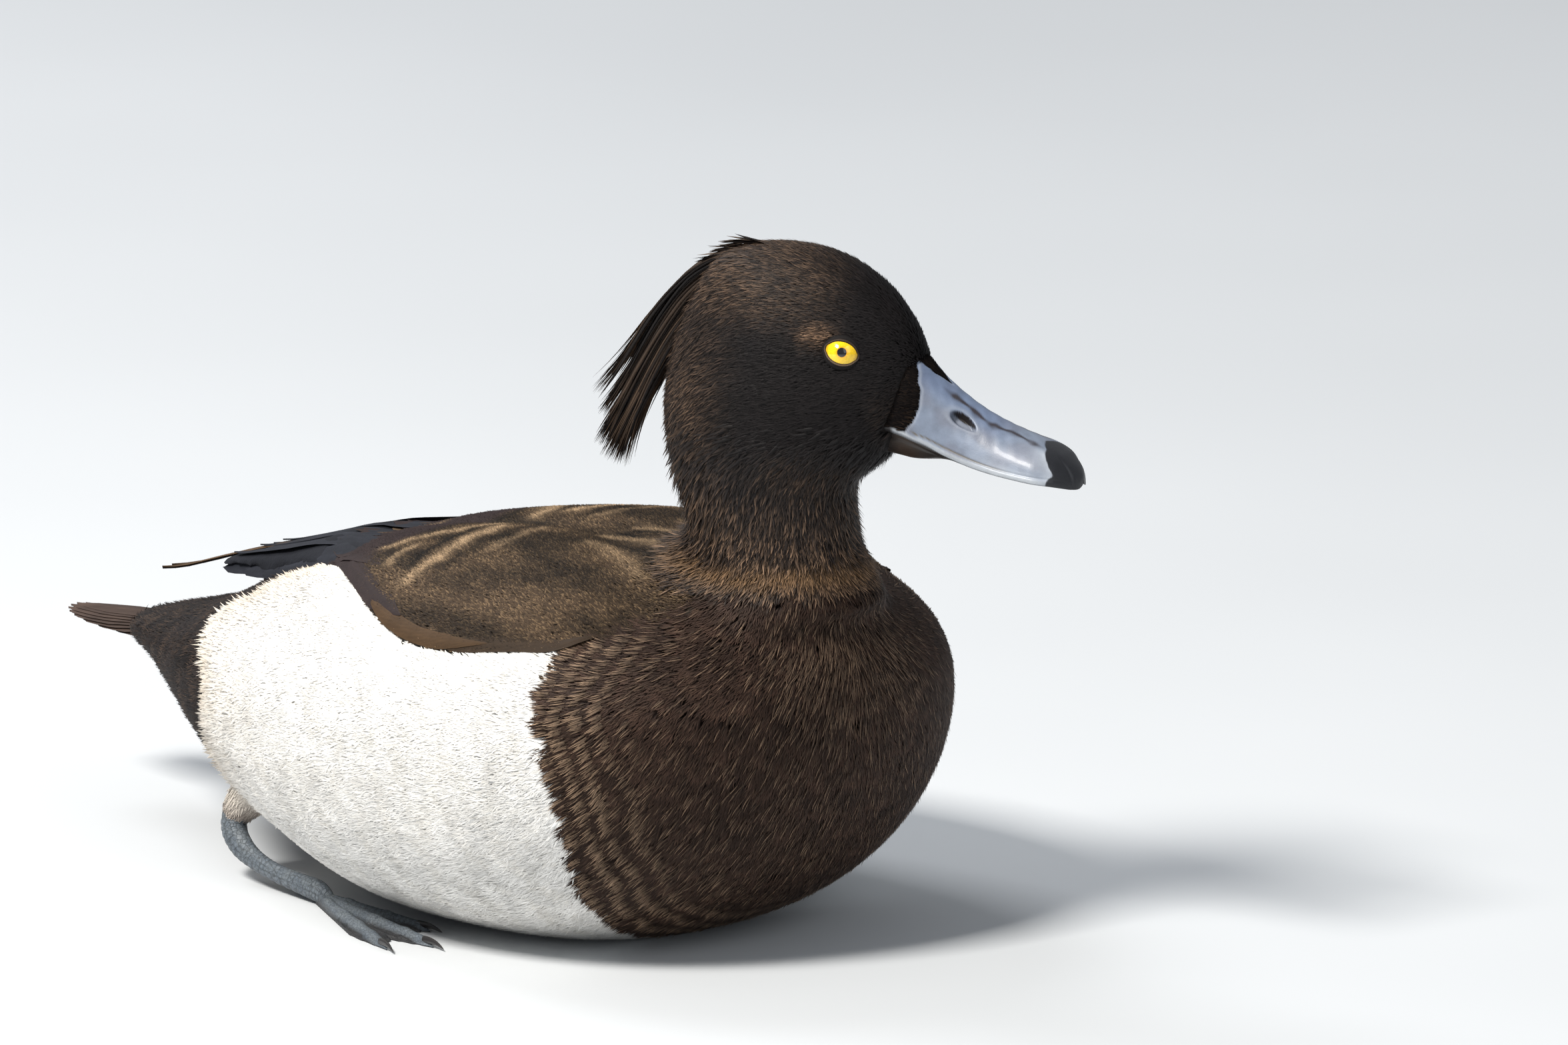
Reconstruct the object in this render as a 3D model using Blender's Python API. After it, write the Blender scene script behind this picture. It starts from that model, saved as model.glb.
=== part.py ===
"""Tufted duck drake (Aythya fuligula) in breeding plumage, life size, resting on its belly.

Metres, +Z up, +X towards the breast, +Y towards the bird's left side. The origin is at the
bottom centre of the bounding box. Sizes below are in millimetres, with X measured from the
middle of the trunk, and are shifted by ORIGIN_X when the meshes are written.

The body is lofted from named stations. The head is turned to the bird's left and the feet
are tucked under the rear flanks. Neighbouring pieces keep a gap of GAP.
"""

import math

import bmesh
import bpy
import numpy as np
from mathutils import Matrix, Vector

for leftover in list(bpy.data.objects):
    bpy.data.objects.remove(leftover, do_unlink=True)

MM = 0.001
GAP = 0.3

# ---------------------------------------------------------------- driving dimensions
ORIGIN_X = 4.17          # middle of the bounding box, from the middle of the trunk
FLOOR_CUT = 0.0          # the belly is flat at this level

NECK_X = 84.0            # axis of the neck, and of the head's turn
HEAD_YAW = 24.0          # degrees, to the bird's left
HEAD_NECK_CUT = 107.0    # level of the division between head and neck
NECK_TRUNK_CUT = 93.0    # level of the division between neck and trunk

# Trunk stations: x, half width, top, bottom, level of the widest point, squareness of the
# upper half, squareness of the lower half (2 is an ellipse)
TRUNK_STATIONS = (
    ("tail_coverts_end", -124.5, 5.0, 47.6, 44.4, 46.0, 2.0, 2.0),
    ("tail_coverts", -116.5, 15.5, 49.8, 42.2, 46.2, 2.2, 2.0),
    ("rump_end", -101.0, 25.5, 54.2, 38.8, 47.0, 2.1, 2.0),
    ("vent", -82.0, 38.5, 60.8, 31.0, 47.5, 2.1, 2.0),
    ("hind_flank", -60.0, 52.5, 70.8, 17.0, 47.5, 2.15, 2.0),
    ("loin", -34.0, 64.5, 80.0, 4.0, 47.5, 2.2, 2.1),
    ("mid_back", -6.0, 72.0, 86.0, -2.5, 48.0, 2.25, 2.3),
    ("shoulder", 24.0, 75.0, 90.3, -3.5, 49.0, 2.25, 2.35),
    ("fore_flank", 52.0, 73.0, 91.8, -1.5, 51.0, 2.2, 2.3),
    ("wing_bend", 74.0, 65.0, 90.6, 5.5, 53.5, 2.1, 2.2),
    ("breast_side", 91.0, 51.5, 86.5, 17.0, 56.5, 2.0, 2.1),
    ("breast", 102.5, 34.5, 79.2, 32.0, 59.5, 2.0, 2.0),
    ("breast_front", 108.8, 17.0, 71.3, 47.0, 61.5, 2.0, 2.0),
    ("breast_tip", 110.8, 0.5, 63.5, 61.5, 62.5, 2.0, 2.0),
)
# The neck's root rises out of the shoulders as a smooth mound
NECK_MOUND = dict(x=82.0, height=17.0, length=21.0, width=19.0)

# Head and neck levels: z, front, back (from the neck's axis, along the head), half width,
# place of the greatest width (0 back to 1 front), squareness, share of the head's yaw
HEAD_LEVELS = (
    ("neck_root", 84.0, 27.0, -23.0, 25.5, 0.50, 2.0, 0.10),
    ("neck_base", 91.0, 22.0, -18.6, 21.0, 0.50, 2.0, 0.25),
    ("neck", 98.5, 18.6, -19.4, 19.4, 0.47, 2.0, 0.45),
    ("upper_neck", 106.0, 18.0, -21.8, 19.0, 0.45, 2.0, 0.70),
    ("throat", 112.0, 17.6, -23.9, 19.2, 0.44, 2.0, 0.90),
    ("chin", 116.5, 22.6, -25.2, 19.6, 0.43, 2.0, 1.00),
    ("jaw", 121.0, 28.9, -26.3, 20.0, 0.43, 2.0, 1.00),
    ("gape", 127.0, 33.2, -27.1, 20.2, 0.43, 2.05, 1.00),
    ("cheek", 134.0, 36.5, -27.0, 20.0, 0.44, 2.05, 1.00),
    ("bill_root", 141.0, 37.4, -25.8, 19.2, 0.46, 2.0, 1.00),
    ("eye", 148.0, 35.2, -23.8, 18.1, 0.47, 2.0, 1.00),
    ("brow", 154.5, 31.5, -21.3, 16.4, 0.48, 2.0, 1.00),
    ("crown_side", 160.6, 25.9, -18.3, 13.9, 0.49, 2.0, 1.00),
    ("crown", 165.5, 18.2, -14.0, 10.2, 0.50, 2.0, 1.00),
    ("crown_top", 168.0, 10.4, -7.0, 5.6, 0.50, 2.0, 1.00),
    ("crown_peak", 168.6, 3.4, -0.5, 0.9, 0.50, 2.0, 1.00),
)

TRUNK_RINGS = 28
TRUNK_SIDES = 32
HEAD_RINGS = 22
HEAD_SIDES = 24


# ---------------------------------------------------------------- small tools
def spline(rows, t):
    """Catmull-Rom through rows (tuples of numbers) at t, 0 to 1 over the whole list."""
    rows = np.asarray(rows, float)
    last = len(rows) - 1
    s = min(max(t, 0.0), 1.0) * last
    i = min(int(s), last - 1)
    f = s - i
    p1, p2 = rows[i], rows[i + 1]
    p0 = rows[i - 1] if i else 2 * p1 - p2
    p3 = rows[i + 2] if i + 2 <= last else 2 * p2 - p1
    return 0.5 * (
        2 * p1
        + (p2 - p0) * f
        + (2 * p0 - 5 * p1 + 4 * p2 - p3) * f * f
        + (3 * p1 - p0 - 3 * p2 + p3) * f ** 3
    )


def power(value, exponent):
    return math.copysign(abs(value) ** exponent, value)


TRUNK_ROWS = [station[1:] for station in TRUNK_STATIONS]
HEAD_ROWS = [level[1:] for level in HEAD_LEVELS]


def trunk_at(t):
    return spline(TRUNK_ROWS, t)


def trunk_t(x):
    """The loft parameter at which the trunk's section stands at x."""
    low, high = 0.0, 1.0
    for _ in range(40):
        middle = (low + high) / 2
        if trunk_at(middle)[0] < x:
            low = middle
        else:
            high = middle
    return (low + high) / 2


def mound(x, y):
    m = NECK_MOUND
    r2 = ((x - m["x"]) / m["length"]) ** 2 + (y / m["width"]) ** 2
    return m["height"] * math.exp(-r2)


def trunk_point(t, angle, grow=0.0):
    """A point of the trunk's skin. The angle runs from the back (0) to the left (90)."""
    x, half, top, bottom, wide, n_top, n_bottom = trunk_at(t)
    half, top, bottom = half + grow, top + grow, bottom - grow
    c, s = math.cos(angle), math.sin(angle)
    n = n_top if c > 0 else n_bottom
    y = half * power(s, 2 / n)
    if c > 0:
        z = wide + (top - wide) * power(c, 2 / n)
        z += mound(x, y) * c * c
    else:
        z = wide + (wide - bottom) * power(c, 2 / n)
    return Vector((x, y, z))


def head_at(t):
    return spline(HEAD_ROWS, t)


def head_frame(z_share, x, y):
    """Turns a point of the head's own plan into the trunk's frame."""
    yaw = math.radians(HEAD_YAW * z_share)
    return (
        NECK_X + x * math.cos(yaw) - y * math.sin(yaw),
        x * math.sin(yaw) + y * math.cos(yaw),
    )


def head_point(t, angle, grow=0.0):
    """A point of the head and neck's skin. The angle runs from the front (0) to the left."""
    z, front, back, half, place, n, share = head_at(t)
    share = min(max(share, 0.0), 1.0)
    middle = back + place * (front - back)
    c, s = math.cos(angle), math.sin(angle)
    reach = (front - middle if c > 0 else middle - back) + grow
    x = middle + reach * power(c, 2 / n)
    y = (half + grow) * power(s, 2 / n)
    px, py = head_frame(share, x, y)
    return Vector((px, py, z))


def loft(rings, closed_ends=True):
    """Vertices and faces of a tube through rings of equal length, with its ends closed."""
    count = len(rings[0])
    points = [p for ring in rings for p in ring]
    faces = []
    for i in range(len(rings) - 1):
        for j in range(count):
            k = (j + 1) % count
            faces.append((i * count + j, i * count + k, (i + 1) * count + k, (i + 1) * count + j))
    if closed_ends:
        for ring, turn in ((0, -1), (len(rings) - 1, 1)):
            centre = sum((Vector(p) for p in rings[ring]), Vector()) / count
            points.append(centre)
            hub = len(points) - 1
            for j in range(count):
                k = (j + 1) % count
                a, b = ring * count + j, ring * count + k
                faces.append((hub, a, b) if turn > 0 else (hub, b, a))
    return points, faces


def make(name, points, faces, hidden=False):
    mesh = bpy.data.meshes.new(name)
    shifted = [((p[0] - ORIGIN_X) * MM, p[1] * MM, p[2] * MM) for p in points]
    mesh.from_pydata(shifted, [], faces)
    mesh.update()
    bm = bmesh.new()
    bm.from_mesh(mesh)
    bmesh.ops.remove_doubles(bm, verts=bm.verts, dist=1e-7)
    bmesh.ops.recalc_face_normals(bm, faces=bm.faces)
    if bm.calc_volume(signed=True) < 0:
        bmesh.ops.reverse_faces(bm, faces=bm.faces)
    bm.to_mesh(mesh)
    bm.free()
    obj = bpy.data.objects.new(name, mesh)
    bpy.context.scene.collection.objects.link(obj)
    if hidden:
        obj.hide_render = True
        obj.display_type = "WIRE"
    return obj


def cut(obj, cutter, operation="DIFFERENCE"):
    modifier = obj.modifiers.new(operation.lower(), "BOOLEAN")
    modifier.operation = operation
    modifier.solver = "EXACT"
    modifier.object = cutter
    graph = bpy.context.evaluated_depsgraph_get()
    mesh = bpy.data.meshes.new_from_object(obj.evaluated_get(graph))
    obj.modifiers.clear()
    old = obj.data
    obj.data = mesh
    bpy.data.meshes.remove(old)
    return obj


def box(name, low, high):
    (x0, y0, z0), (x1, y1, z1) = low, high
    points = [(x, y, z) for x in (x0, x1) for y in (y0, y1) for z in (z0, z1)]
    faces = [(0, 1, 3, 2), (4, 6, 7, 5), (0, 4, 5, 1), (2, 3, 7, 6), (0, 2, 6, 4), (1, 5, 7, 3)]
    return make(name, points, faces, hidden=True)


def discard(*objects):
    for obj in objects:
        mesh = obj.data
        bpy.data.objects.remove(obj, do_unlink=True)
        bpy.data.meshes.remove(mesh)


# ---------------------------------------------------------------- whole body forms
def trunk_mesh(name, grow=0.0, rings=TRUNK_RINGS, sides=TRUNK_SIDES, hidden=False):
    rows = []
    for i in range(rings):
        t = i / (rings - 1)
        rows.append([trunk_point(t, 2 * math.pi * j / sides, grow) for j in range(sides)])
    return make(name, *loft(rows), hidden=hidden)


def head_mesh(name, grow=0.0, rings=HEAD_RINGS, sides=HEAD_SIDES, hidden=False):
    rows = []
    for i in range(rings):
        t = i / (rings - 1)
        rows.append([head_point(t, 2 * math.pi * j / sides, grow) for j in range(sides)])
    return make(name, *loft(rows), hidden=hidden)


def top_of_trunk(x, y):
    """Height of the trunk's upper surface over a point of the plan."""
    _, half, top, _, wide, n_top, _ = trunk_at(trunk_t(x))
    inside = max(0.0, 1 - min(1.0, abs(y) / half) ** n_top)
    return wide + (top - wide) * inside ** (1 / n_top) + mound(x, y) * inside ** (2 / n_top)


# ---------------------------------------------------------------- folded wings
# Wing stations from the bend to the tip of the longest primary: x, inner edge, outer edge
# (both from the middle of the back), and rise of the feathers over the trunk
WING_STATIONS = (
    ("bend", 73.5, 36.5, 43.5, 0.3),
    ("shoulder", 68.0, 28.5, 53.5, 1.0),
    ("scapulars", 56.0, 21.0, 59.0, 1.8),
    ("coverts", 40.0, 12.0, 63.3, 2.3),
    ("mid_wing", 24.0, 5.5, 62.8, 2.6),
    ("tertials", 6.0, 2.0, 55.8, 2.8),
    ("tertial_tips", -14.0, 0.8, 42.8, 2.8),
    ("primary_root", -34.0, 0.5, 28.5, 2.6),
    ("primaries", -54.0, 0.4, 19.5, 2.4),
    ("primary_mid", -74.0, 0.4, 14.0, 2.2),
    ("primary_tips", -94.0, 0.4, 8.5, 2.0),
    ("primary_end", -109.0, 0.4, 4.6, 1.6),
    ("longest_tip", -118.0, 0.4, 1.6, 0.8),
)
# The line of the free primaries behind the loin: (x, height of their upper side)
PRIMARY_LINE = ((-50.0, 78.6), (-66.0, 73.2), (-85.0, 67.6), (-100.0, 62.6), (-118.0, 57.6))
WING_DEPTH = 3.2         # how far the folded wing sits into the trunk
PRIMARY_DEPTH = 3.0      # thickness of the stack of primaries where they leave the trunk
WING_RINGS = 24
WING_STEPS = 6


def wing_height(x, y):
    """Upper side of the wing before its rise: the trunk, then the line of the primaries."""
    xs = [p[0] for p in PRIMARY_LINE][::-1]
    zs = [p[1] for p in PRIMARY_LINE][::-1]
    line = float(np.interp(x, xs, zs)) - 0.010 * y * y
    if x >= -50.0:
        share = min(1.0, max(0.0, (x + 50.0) / 24.0))
        return (1 - share) * line + share * top_of_trunk(x, y) if share < 1 else top_of_trunk(x, y)
    return line


def wing_mesh(name, side, grow=0.0, lift=0.0, hidden=False):
    """A folded wing as a slab over the trunk. grow widens it all round, lift raises its top."""
    rows = [station[1:] for station in WING_STATIONS]
    top, under = [], []
    for i in range(WING_RINGS):
        t = i / (WING_RINGS - 1)
        x, inner, outer, rise = spline(rows, t)
        if i == 0:
            x += grow
        if i == WING_RINGS - 1:
            x -= grow
        inner, outer = inner - grow, outer + grow
        upper_row, lower_row = [], []
        for j in range(WING_STEPS):
            s = j / (WING_STEPS - 1)
            y = inner + (outer - inner) * s
            base = wing_height(x, y)
            crown = 0.35 + 0.65 * (1 - (2 * s - 1) ** 4)
            free = min(1.0, max(0.0, (-40.0 - x) / 30.0))
            depth = (1 - free) * WING_DEPTH + free * PRIMARY_DEPTH * (0.45 + 0.55 * (1 - t) * 3)
            depth = max(1.0, depth) if free else depth
            upper_row.append((x, side * y, base + rise * crown + lift))
            lower_row.append((x, side * y, base - depth - grow))
        top.append(upper_row)
        under.append(lower_row)
    rings = []
    for upper_row, lower_row in zip(top, under):
        rings.append([Vector(p) for p in upper_row] + [Vector(p) for p in lower_row[::-1]])
    return make(name, *loft(rings), hidden=hidden)


# ---------------------------------------------------------------- tail
TAIL_ROOT_X = -92.0      # centre of the tail's fan
TAIL_INNER = 19.0
TAIL_OUTER = 53.5
TAIL_SPREAD = 25.0       # degrees each way
TAIL_FEATHERS = 14
TAIL_TOP = (47.6, 44.9)  # height at the root and at the tip
TAIL_THICK = (3.0, 1.0)


def tail_mesh(name, grow=0.0, hidden=False):
    rings = []
    steps = 2 * TAIL_FEATHERS
    for i in range(steps + 1):
        a = -1 + 2 * i / steps
        angle = math.radians(TAIL_SPREAD * a)
        tip = TAIL_OUTER * (1 - 0.13 * a * a) * (1 - 0.012 * (i % 2 == 0))
        ring = []
        inner, outer = TAIL_INNER - grow, tip + grow
        line = []
        for k in range(5):
            s = k / 4
            r = inner + (outer - inner) * s
            x, y = TAIL_ROOT_X - r * math.cos(angle), r * math.sin(angle) * (1 + grow / 12)
            z = TAIL_TOP[0] + (TAIL_TOP[1] - TAIL_TOP[0]) * s - 0.0035 * y * y
            line.append((x, y, z, TAIL_THICK[0] + (TAIL_THICK[1] - TAIL_THICK[0]) * s))
        ring += [Vector((x, y, z + grow)) for x, y, z, _ in line]
        ring += [Vector((x, y, z - thick - grow)) for x, y, z, thick in line[::-1]]
        rings.append(ring)
    return make(name, *loft(rings), hidden=hidden)


# ---------------------------------------------------------------- bill
# In the head's own plan: x from the neck's axis, top, cutting edge, half width, squareness
UPPER_BILL = (
    ("root", 25.0, 139.5, 129.0, 6.5, 2.0),
    ("under_feathers", 33.0, 141.3, 127.6, 8.0, 2.0),
    ("base", 38.5, 141.0, 125.3, 8.7, 1.9),
    ("behind_nostril", 44.0, 137.2, 122.9, 9.1, 1.8),
    ("nostril", 50.0, 133.2, 120.9, 9.4, 1.8),
    ("saddle", 56.0, 130.1, 119.6, 9.9, 1.9),
    ("spatula", 62.0, 127.6, 118.8, 10.6, 2.1),
    ("widest", 66.5, 126.0, 118.3, 10.9, 2.3),
    ("nail_root", 70.2, 124.2, 117.8, 9.9, 2.4),
    ("nail", 72.8, 122.2, 117.0, 7.4, 2.4),
    ("nail_end", 74.4, 120.3, 116.5, 4.4, 2.3),
    ("tip", 75.0, 118.8, 116.9, 1.0, 2.0),
)
LOWER_BILL = (
    ("root", 27.0, 127.0, 120.5, 5.5, 2.0),
    ("gape", 33.0, 127.2, 119.8, 7.0, 2.0),
    ("jaw", 40.0, 124.3, 118.6, 7.8, 2.0),
    ("middle", 48.0, 121.2, 117.0, 8.2, 2.1),
    ("fore", 58.0, 119.0, 115.8, 8.9, 2.2),
    ("spatula", 65.5, 118.1, 115.4, 9.3, 2.2),
    ("lip", 70.0, 117.4, 115.4, 7.0, 2.2),
    ("tip", 72.3, 116.6, 115.7, 2.0, 2.0),
)


def bill_mesh(name, stations, upper, grow=0.0, rings=16, hidden=False):
    """The upper mandible is an arch over a flat floor, and the lower one hangs under it."""
    rows = [station[1:] for station in stations]
    sides = 9
    shape = []
    for i in range(rings):
        x, top, bottom, half, n = spline(rows, i / (rings - 1))
        if i == 0:
            x -= grow
        if i == rings - 1:
            x += grow
        half += grow
        top, bottom = top + grow, bottom - grow
        ring = []
        for j in range(sides):
            angle = math.pi * j / (sides - 1)
            c, s = math.cos(angle), math.sin(angle)
            y = half * power(c, 2 / n)
            if upper:
                z = bottom + (top - bottom) * power(s, 2 / n)
            else:
                z = top - (top - bottom) * power(s, 2 / n)
            ring.append((y, z))
        flat = bottom if upper else top
        for j in range(1, 3):
            ring.append((-half + 2 * half * j / 3, flat))
        shape.append([Vector((*head_frame(1.0, x, y), z)) for y, z in ring])
    return make(name, *loft(shape), hidden=hidden)


# ---------------------------------------------------------------- crest
# Locks of the hanging crest, in the head's plan: lists of (x, z, half thickness, half width)
# and each lock's place to the side, at its root and at its tip
CREST_LOCKS = (
    ("main", ((-9, 163.2, 1.4, 3.6), (-15, 161.2, 3.0, 6.0), (-21, 156.2, 3.9, 6.8),
              (-26.8, 148.5, 4.1, 6.4), (-32.2, 139.0, 3.9, 5.4), (-36.6, 129.5, 3.2, 4.0),
              (-39.8, 121.5, 1.8, 2.3), (-42.2, 115.2, 0.4, 0.5)), 0.0, 0.0),
    ("outer", ((-24, 153.0, 2.5, 3.0), (-31.0, 145.8, 2.6, 3.0), (-37.6, 138.6, 2.0, 2.6),
               (-43.4, 133.2, 0.4, 0.5)), -1.0, -3.5),
    ("inner", ((-27, 147.0, 2.5, 2.6), (-31.6, 137.0, 2.2, 2.6), (-34.4, 128.0, 1.7, 2.0),
               (-37.8, 119.0, 0.4, 0.5)), 1.5, 3.0),
)


def crest_lock(name, rows, side_root, side_tip, hidden=False):
    rings, count, sides = [], 3 * len(rows) - 2, 8
    for i in range(count):
        t = i / (count - 1)
        x, z, thick, wide = spline(rows, t)
        x2, z2 = spline(rows, min(1.0, t + 0.01))[:2]
        x1, z1 = spline(rows, max(0.0, t - 0.01))[:2]
        along = Vector((x2 - x1, z2 - z1)).normalized()
        side = side_root + (side_tip - side_root) * t
        ring = []
        for j in range(sides):
            angle = 2 * math.pi * j / sides
            reach = thick * math.cos(angle)
            px, pz = x - along[1] * reach, z + along[0] * reach
            qx, qy = head_frame(1.0, px, side + wide * math.sin(angle))
            ring.append(Vector((qx, qy, pz)))
        rings.append(ring)
    return make(name, *loft(rings), hidden=hidden)


# ---------------------------------------------------------------- eyes
EYE_RADIUS = 5.2
EYE_SUNK = 3.8           # how far the eyeball's centre lies under the face
EYE_X, EYE_Z = 20.9, 147.2


def head_frame_turn(x, y):
    """Turns a direction of the head's own plan into the trunk's frame."""
    yaw = math.radians(HEAD_YAW)
    return x * math.cos(yaw) - y * math.sin(yaw), x * math.sin(yaw) + y * math.cos(yaw)


def face_point(x, z, side):
    """A point of the head's side, at x along the head and at the level z, and its normal."""
    def at(x_, z_):
        low, high = 0.0, 1.0
        for _ in range(30):
            middle = (low + high) / 2
            if head_at(middle)[0] < z_:
                low = middle
            else:
                high = middle
        _, front, back, half, place, n, _ = head_at(low)
        centre = back + place * (front - back)
        reach = front - centre if x_ > centre else centre - back
        return half * max(0.0, 1 - abs((x_ - centre) / reach) ** n) ** (1 / n)
    y = at(x, z)
    slope_x = (at(x + 0.5, z) - at(x - 0.5, z))
    slope_z = (at(x, z + 0.5) - at(x, z - 0.5))
    normal = Vector((-slope_x, 1.0, -slope_z)).normalized()
    return Vector((x, side * y, z)), Vector((normal.x, side * normal.y, normal.z))


def eye_mesh(name, side, grow=0.0, hidden=False):
    point, normal = face_point(EYE_X, EYE_Z, side)
    centre = point - normal * EYE_SUNK
    cx, cy = head_frame(1.0, centre.x, centre.y)
    bm = bmesh.new()
    bmesh.ops.create_uvsphere(bm, u_segments=14, v_segments=9, radius=EYE_RADIUS + grow)
    turn = Vector((0, 0, 1)).rotation_difference(Vector((*head_frame_turn(normal.x, normal.y), normal.z)))
    bmesh.ops.rotate(bm, verts=bm.verts, matrix=turn.to_matrix())
    points = [Vector((v.co.x + cx, v.co.y + cy, v.co.z + centre.z)) for v in bm.verts]
    faces = [tuple(v.index for v in f.verts) for f in bm.faces]
    bm.free()
    return make(name, points, faces, hidden=hidden)


# ---------------------------------------------------------------- legs and feet
TOE_ROOT = (-24.0, 46.0)                      # x, and distance from the middle
TOES = (("inner", 40.0, 2.0), ("middle", 53.0, 13.0), ("outer", 50.0, 25.0))   # length, degrees outwards
TOE_HIGH, WEB_HIGH, TOE_WIDE = 3.4, 1.1, 2.6
LEG_LINE = (              # x, distance from the middle, height, half thickness
    ("toe_joint", -23.0, 46.0, 3.4, 2.7),
    ("shank", -38.0, 44.5, 4.4, 2.5),
    ("heel", -54.0, 42.0, 8.0, 3.3),
    ("heel_bend", -56.5, 40.5, 13.5, 3.8),
    ("thigh", -48.0, 37.0, 25.0, 5.5),
    ("thigh_root", -38.0, 34.0, 35.0, 6.5),
)


def foot_mesh(name, side):
    """Three webbed toes lying flat: a fan whose height rises over each toe."""
    rings, steps, spokes = [], 6, 16
    first, last = TOES[0][2] - 5.0, TOES[-1][2] + 5.0
    for i in range(spokes + 1):
        a = first + (last - first) * i / spokes
        near = min(range(3), key=lambda k: abs(a - TOES[k][2]))
        angles = [toe[2] for toe in TOES]
        lengths = [toe[1] for toe in TOES]
        reach = float(np.interp(a, angles, lengths))
        away = min(1.0, abs(a - angles[near]) / 5.5)
        reach *= 1 - 0.14 * away ** 0.8
        if a < angles[0] or a > angles[-1]:
            reach *= 1 - 0.05 * away
        top, under = [], []
        for k in range(steps + 1):
            r = 2.0 + (reach - 2.0) * k / steps
            x = TOE_ROOT[0] + r * math.cos(math.radians(a))
            y = TOE_ROOT[1] + r * math.sin(math.radians(a))
            off = min(abs(r * math.sin(math.radians(a - b))) for b in angles)
            taper = 1 - 0.55 * (k / steps) ** 2
            high = WEB_HIGH + (TOE_HIGH * taper - WEB_HIGH) * math.exp(-(off / TOE_WIDE) ** 2)
            top.append(Vector((x, side * y, max(0.8, high))))
            under.append(Vector((x, side * y, 0.0)))
        rings.append(top + under[::-1])
    return make(name, *loft(rings))


def leg_mesh(name, side, grow=0.0, hidden=False):
    rows = [row[1:] for row in LEG_LINE]
    rings, count, sides = [], 14, 8
    for i in range(count):
        t = i / (count - 1)
        x, y, z, radius = spline(rows, t)
        a = spline(rows, max(0.0, t - 0.01))[:3]
        b = spline(rows, min(1.0, t + 0.01))[:3]
        along = Vector(b - a).normalized()
        across = Vector((0, 1, 0)) - along * along.y
        across.normalize()
        upward = along.cross(across)
        ring = []
        for j in range(sides):
            angle = 2 * math.pi * j / sides
            p = Vector((x, y, z)) + (across * math.cos(angle) + upward * math.sin(angle)) * (radius + grow)
            ring.append(Vector((p.x, side * p.y, p.z)))
        rings.append(ring)
    return make(name, *loft(rings), hidden=hidden)


# ---------------------------------------------------------------- assembly
def finish_shape(obj, angle=35.0):
    bm = bmesh.new()
    bm.from_mesh(obj.data)
    bmesh.ops.remove_doubles(bm, verts=bm.verts, dist=2e-6)
    bmesh.ops.dissolve_degenerate(bm, edges=bm.edges, dist=2e-6)
    bmesh.ops.dissolve_limit(bm, angle_limit=math.radians(0.4), verts=bm.verts, edges=bm.edges)
    bmesh.ops.triangulate(bm, faces=[f for f in bm.faces if len(f.verts) > 4])
    bm.to_mesh(obj.data)
    bm.free()
    obj.data.shade_smooth()
    obj.data.set_sharp_from_angle(angle=math.radians(angle))


def colour(obj, name, rgb, rough, metallic=0.0):
    material = bpy.data.materials.get(name) or bpy.data.materials.new(name)
    material.use_nodes = True
    shader = material.node_tree.nodes["Principled BSDF"]
    shader.inputs["Base Color"].default_value = (*rgb, 1.0)
    shader.inputs["Roughness"].default_value = rough
    shader.inputs["Metallic"].default_value = metallic
    obj.data.materials.clear()
    obj.data.materials.append(material)


FAR = 400.0
trunk = trunk_mesh("trunk")
head = head_mesh("head")

# The neck is the middle length of the head and neck's form, and the trunk makes room for it
neck = head_mesh("neck")
slab = box("slab", ((-FAR), -FAR, NECK_TRUNK_CUT), (FAR, FAR, HEAD_NECK_CUT - GAP / 2))
cut(neck, slab, "INTERSECT")
discard(slab)
slab = box("slab", (-FAR, -FAR, HEAD_NECK_CUT + GAP / 2), (FAR, FAR, FAR))
cut(head, slab, "INTERSECT")
discard(slab)
room = head_mesh("room", grow=GAP, hidden=True)
slab = box("slab", (-FAR, -FAR, NECK_TRUNK_CUT - GAP), (FAR, FAR, FAR))
cut(room, slab, "INTERSECT")
cut(trunk, room)
discard(slab, room)

# The belly is flat where the bird rests
slab = box("slab", (-FAR, -FAR, FLOOR_CUT), (FAR, FAR, FAR))
cut(trunk, slab, "INTERSECT")
discard(slab)

# Folded wings lie in shallow beds in the back
wings = {}
for side, word in ((-1, "right"), (1, "left")):
    wings[word] = wing_mesh("wing_" + word, side)
    bed = wing_mesh("bed", side, grow=GAP, lift=8.0, hidden=True)
    cut(trunk, bed)
    discard(bed)

# The tail's root is held between the coverts
tail = tail_mesh("tail")
bed = tail_mesh("bed", grow=GAP, hidden=True)
cut(trunk, bed)
discard(bed)

# Legs enter the rear flanks, and the feet lie on the floor beside the belly
legs, feet = {}, {}
for side, word in ((-1, "right"), (1, "left")):
    legs[word] = leg_mesh("leg_" + word, side)
    feet[word] = foot_mesh("foot_" + word, side)
    bed = leg_mesh("bed", side, grow=GAP, hidden=True)
    cut(trunk, bed)
    cut(feet[word], bed)
    discard(bed)

# Bill, eyes and crest
bill_upper = bill_mesh("bill_upper", UPPER_BILL, True)
bill_lower = bill_mesh("bill_lower", LOWER_BILL, False)
bed = bill_mesh("bed", LOWER_BILL, False, grow=GAP, hidden=True)
cut(head, bed)
discard(bed)
bed = bill_mesh("bed", UPPER_BILL, True, grow=GAP, hidden=True)
cut(head, bed)
cut(bill_lower, bed)
discard(bed)

eyes = {}
for side, word in ((-1, "right"), (1, "left")):
    eyes[word] = eye_mesh("eye_" + word, side)
    bed = eye_mesh("bed", side, grow=GAP, hidden=True)
    cut(head, bed)
    discard(bed)

crest = None
for lock_name, rows, side_root, side_tip in CREST_LOCKS:
    lock = crest_lock("crest" if crest is None else "lock", rows, side_root, side_tip, hidden=crest is not None)
    if crest is None:
        crest = lock
    else:
        cut(crest, lock, "UNION")
        discard(lock)
room = head_mesh("room", grow=GAP, hidden=True)
cut(crest, room)
discard(room)

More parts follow.
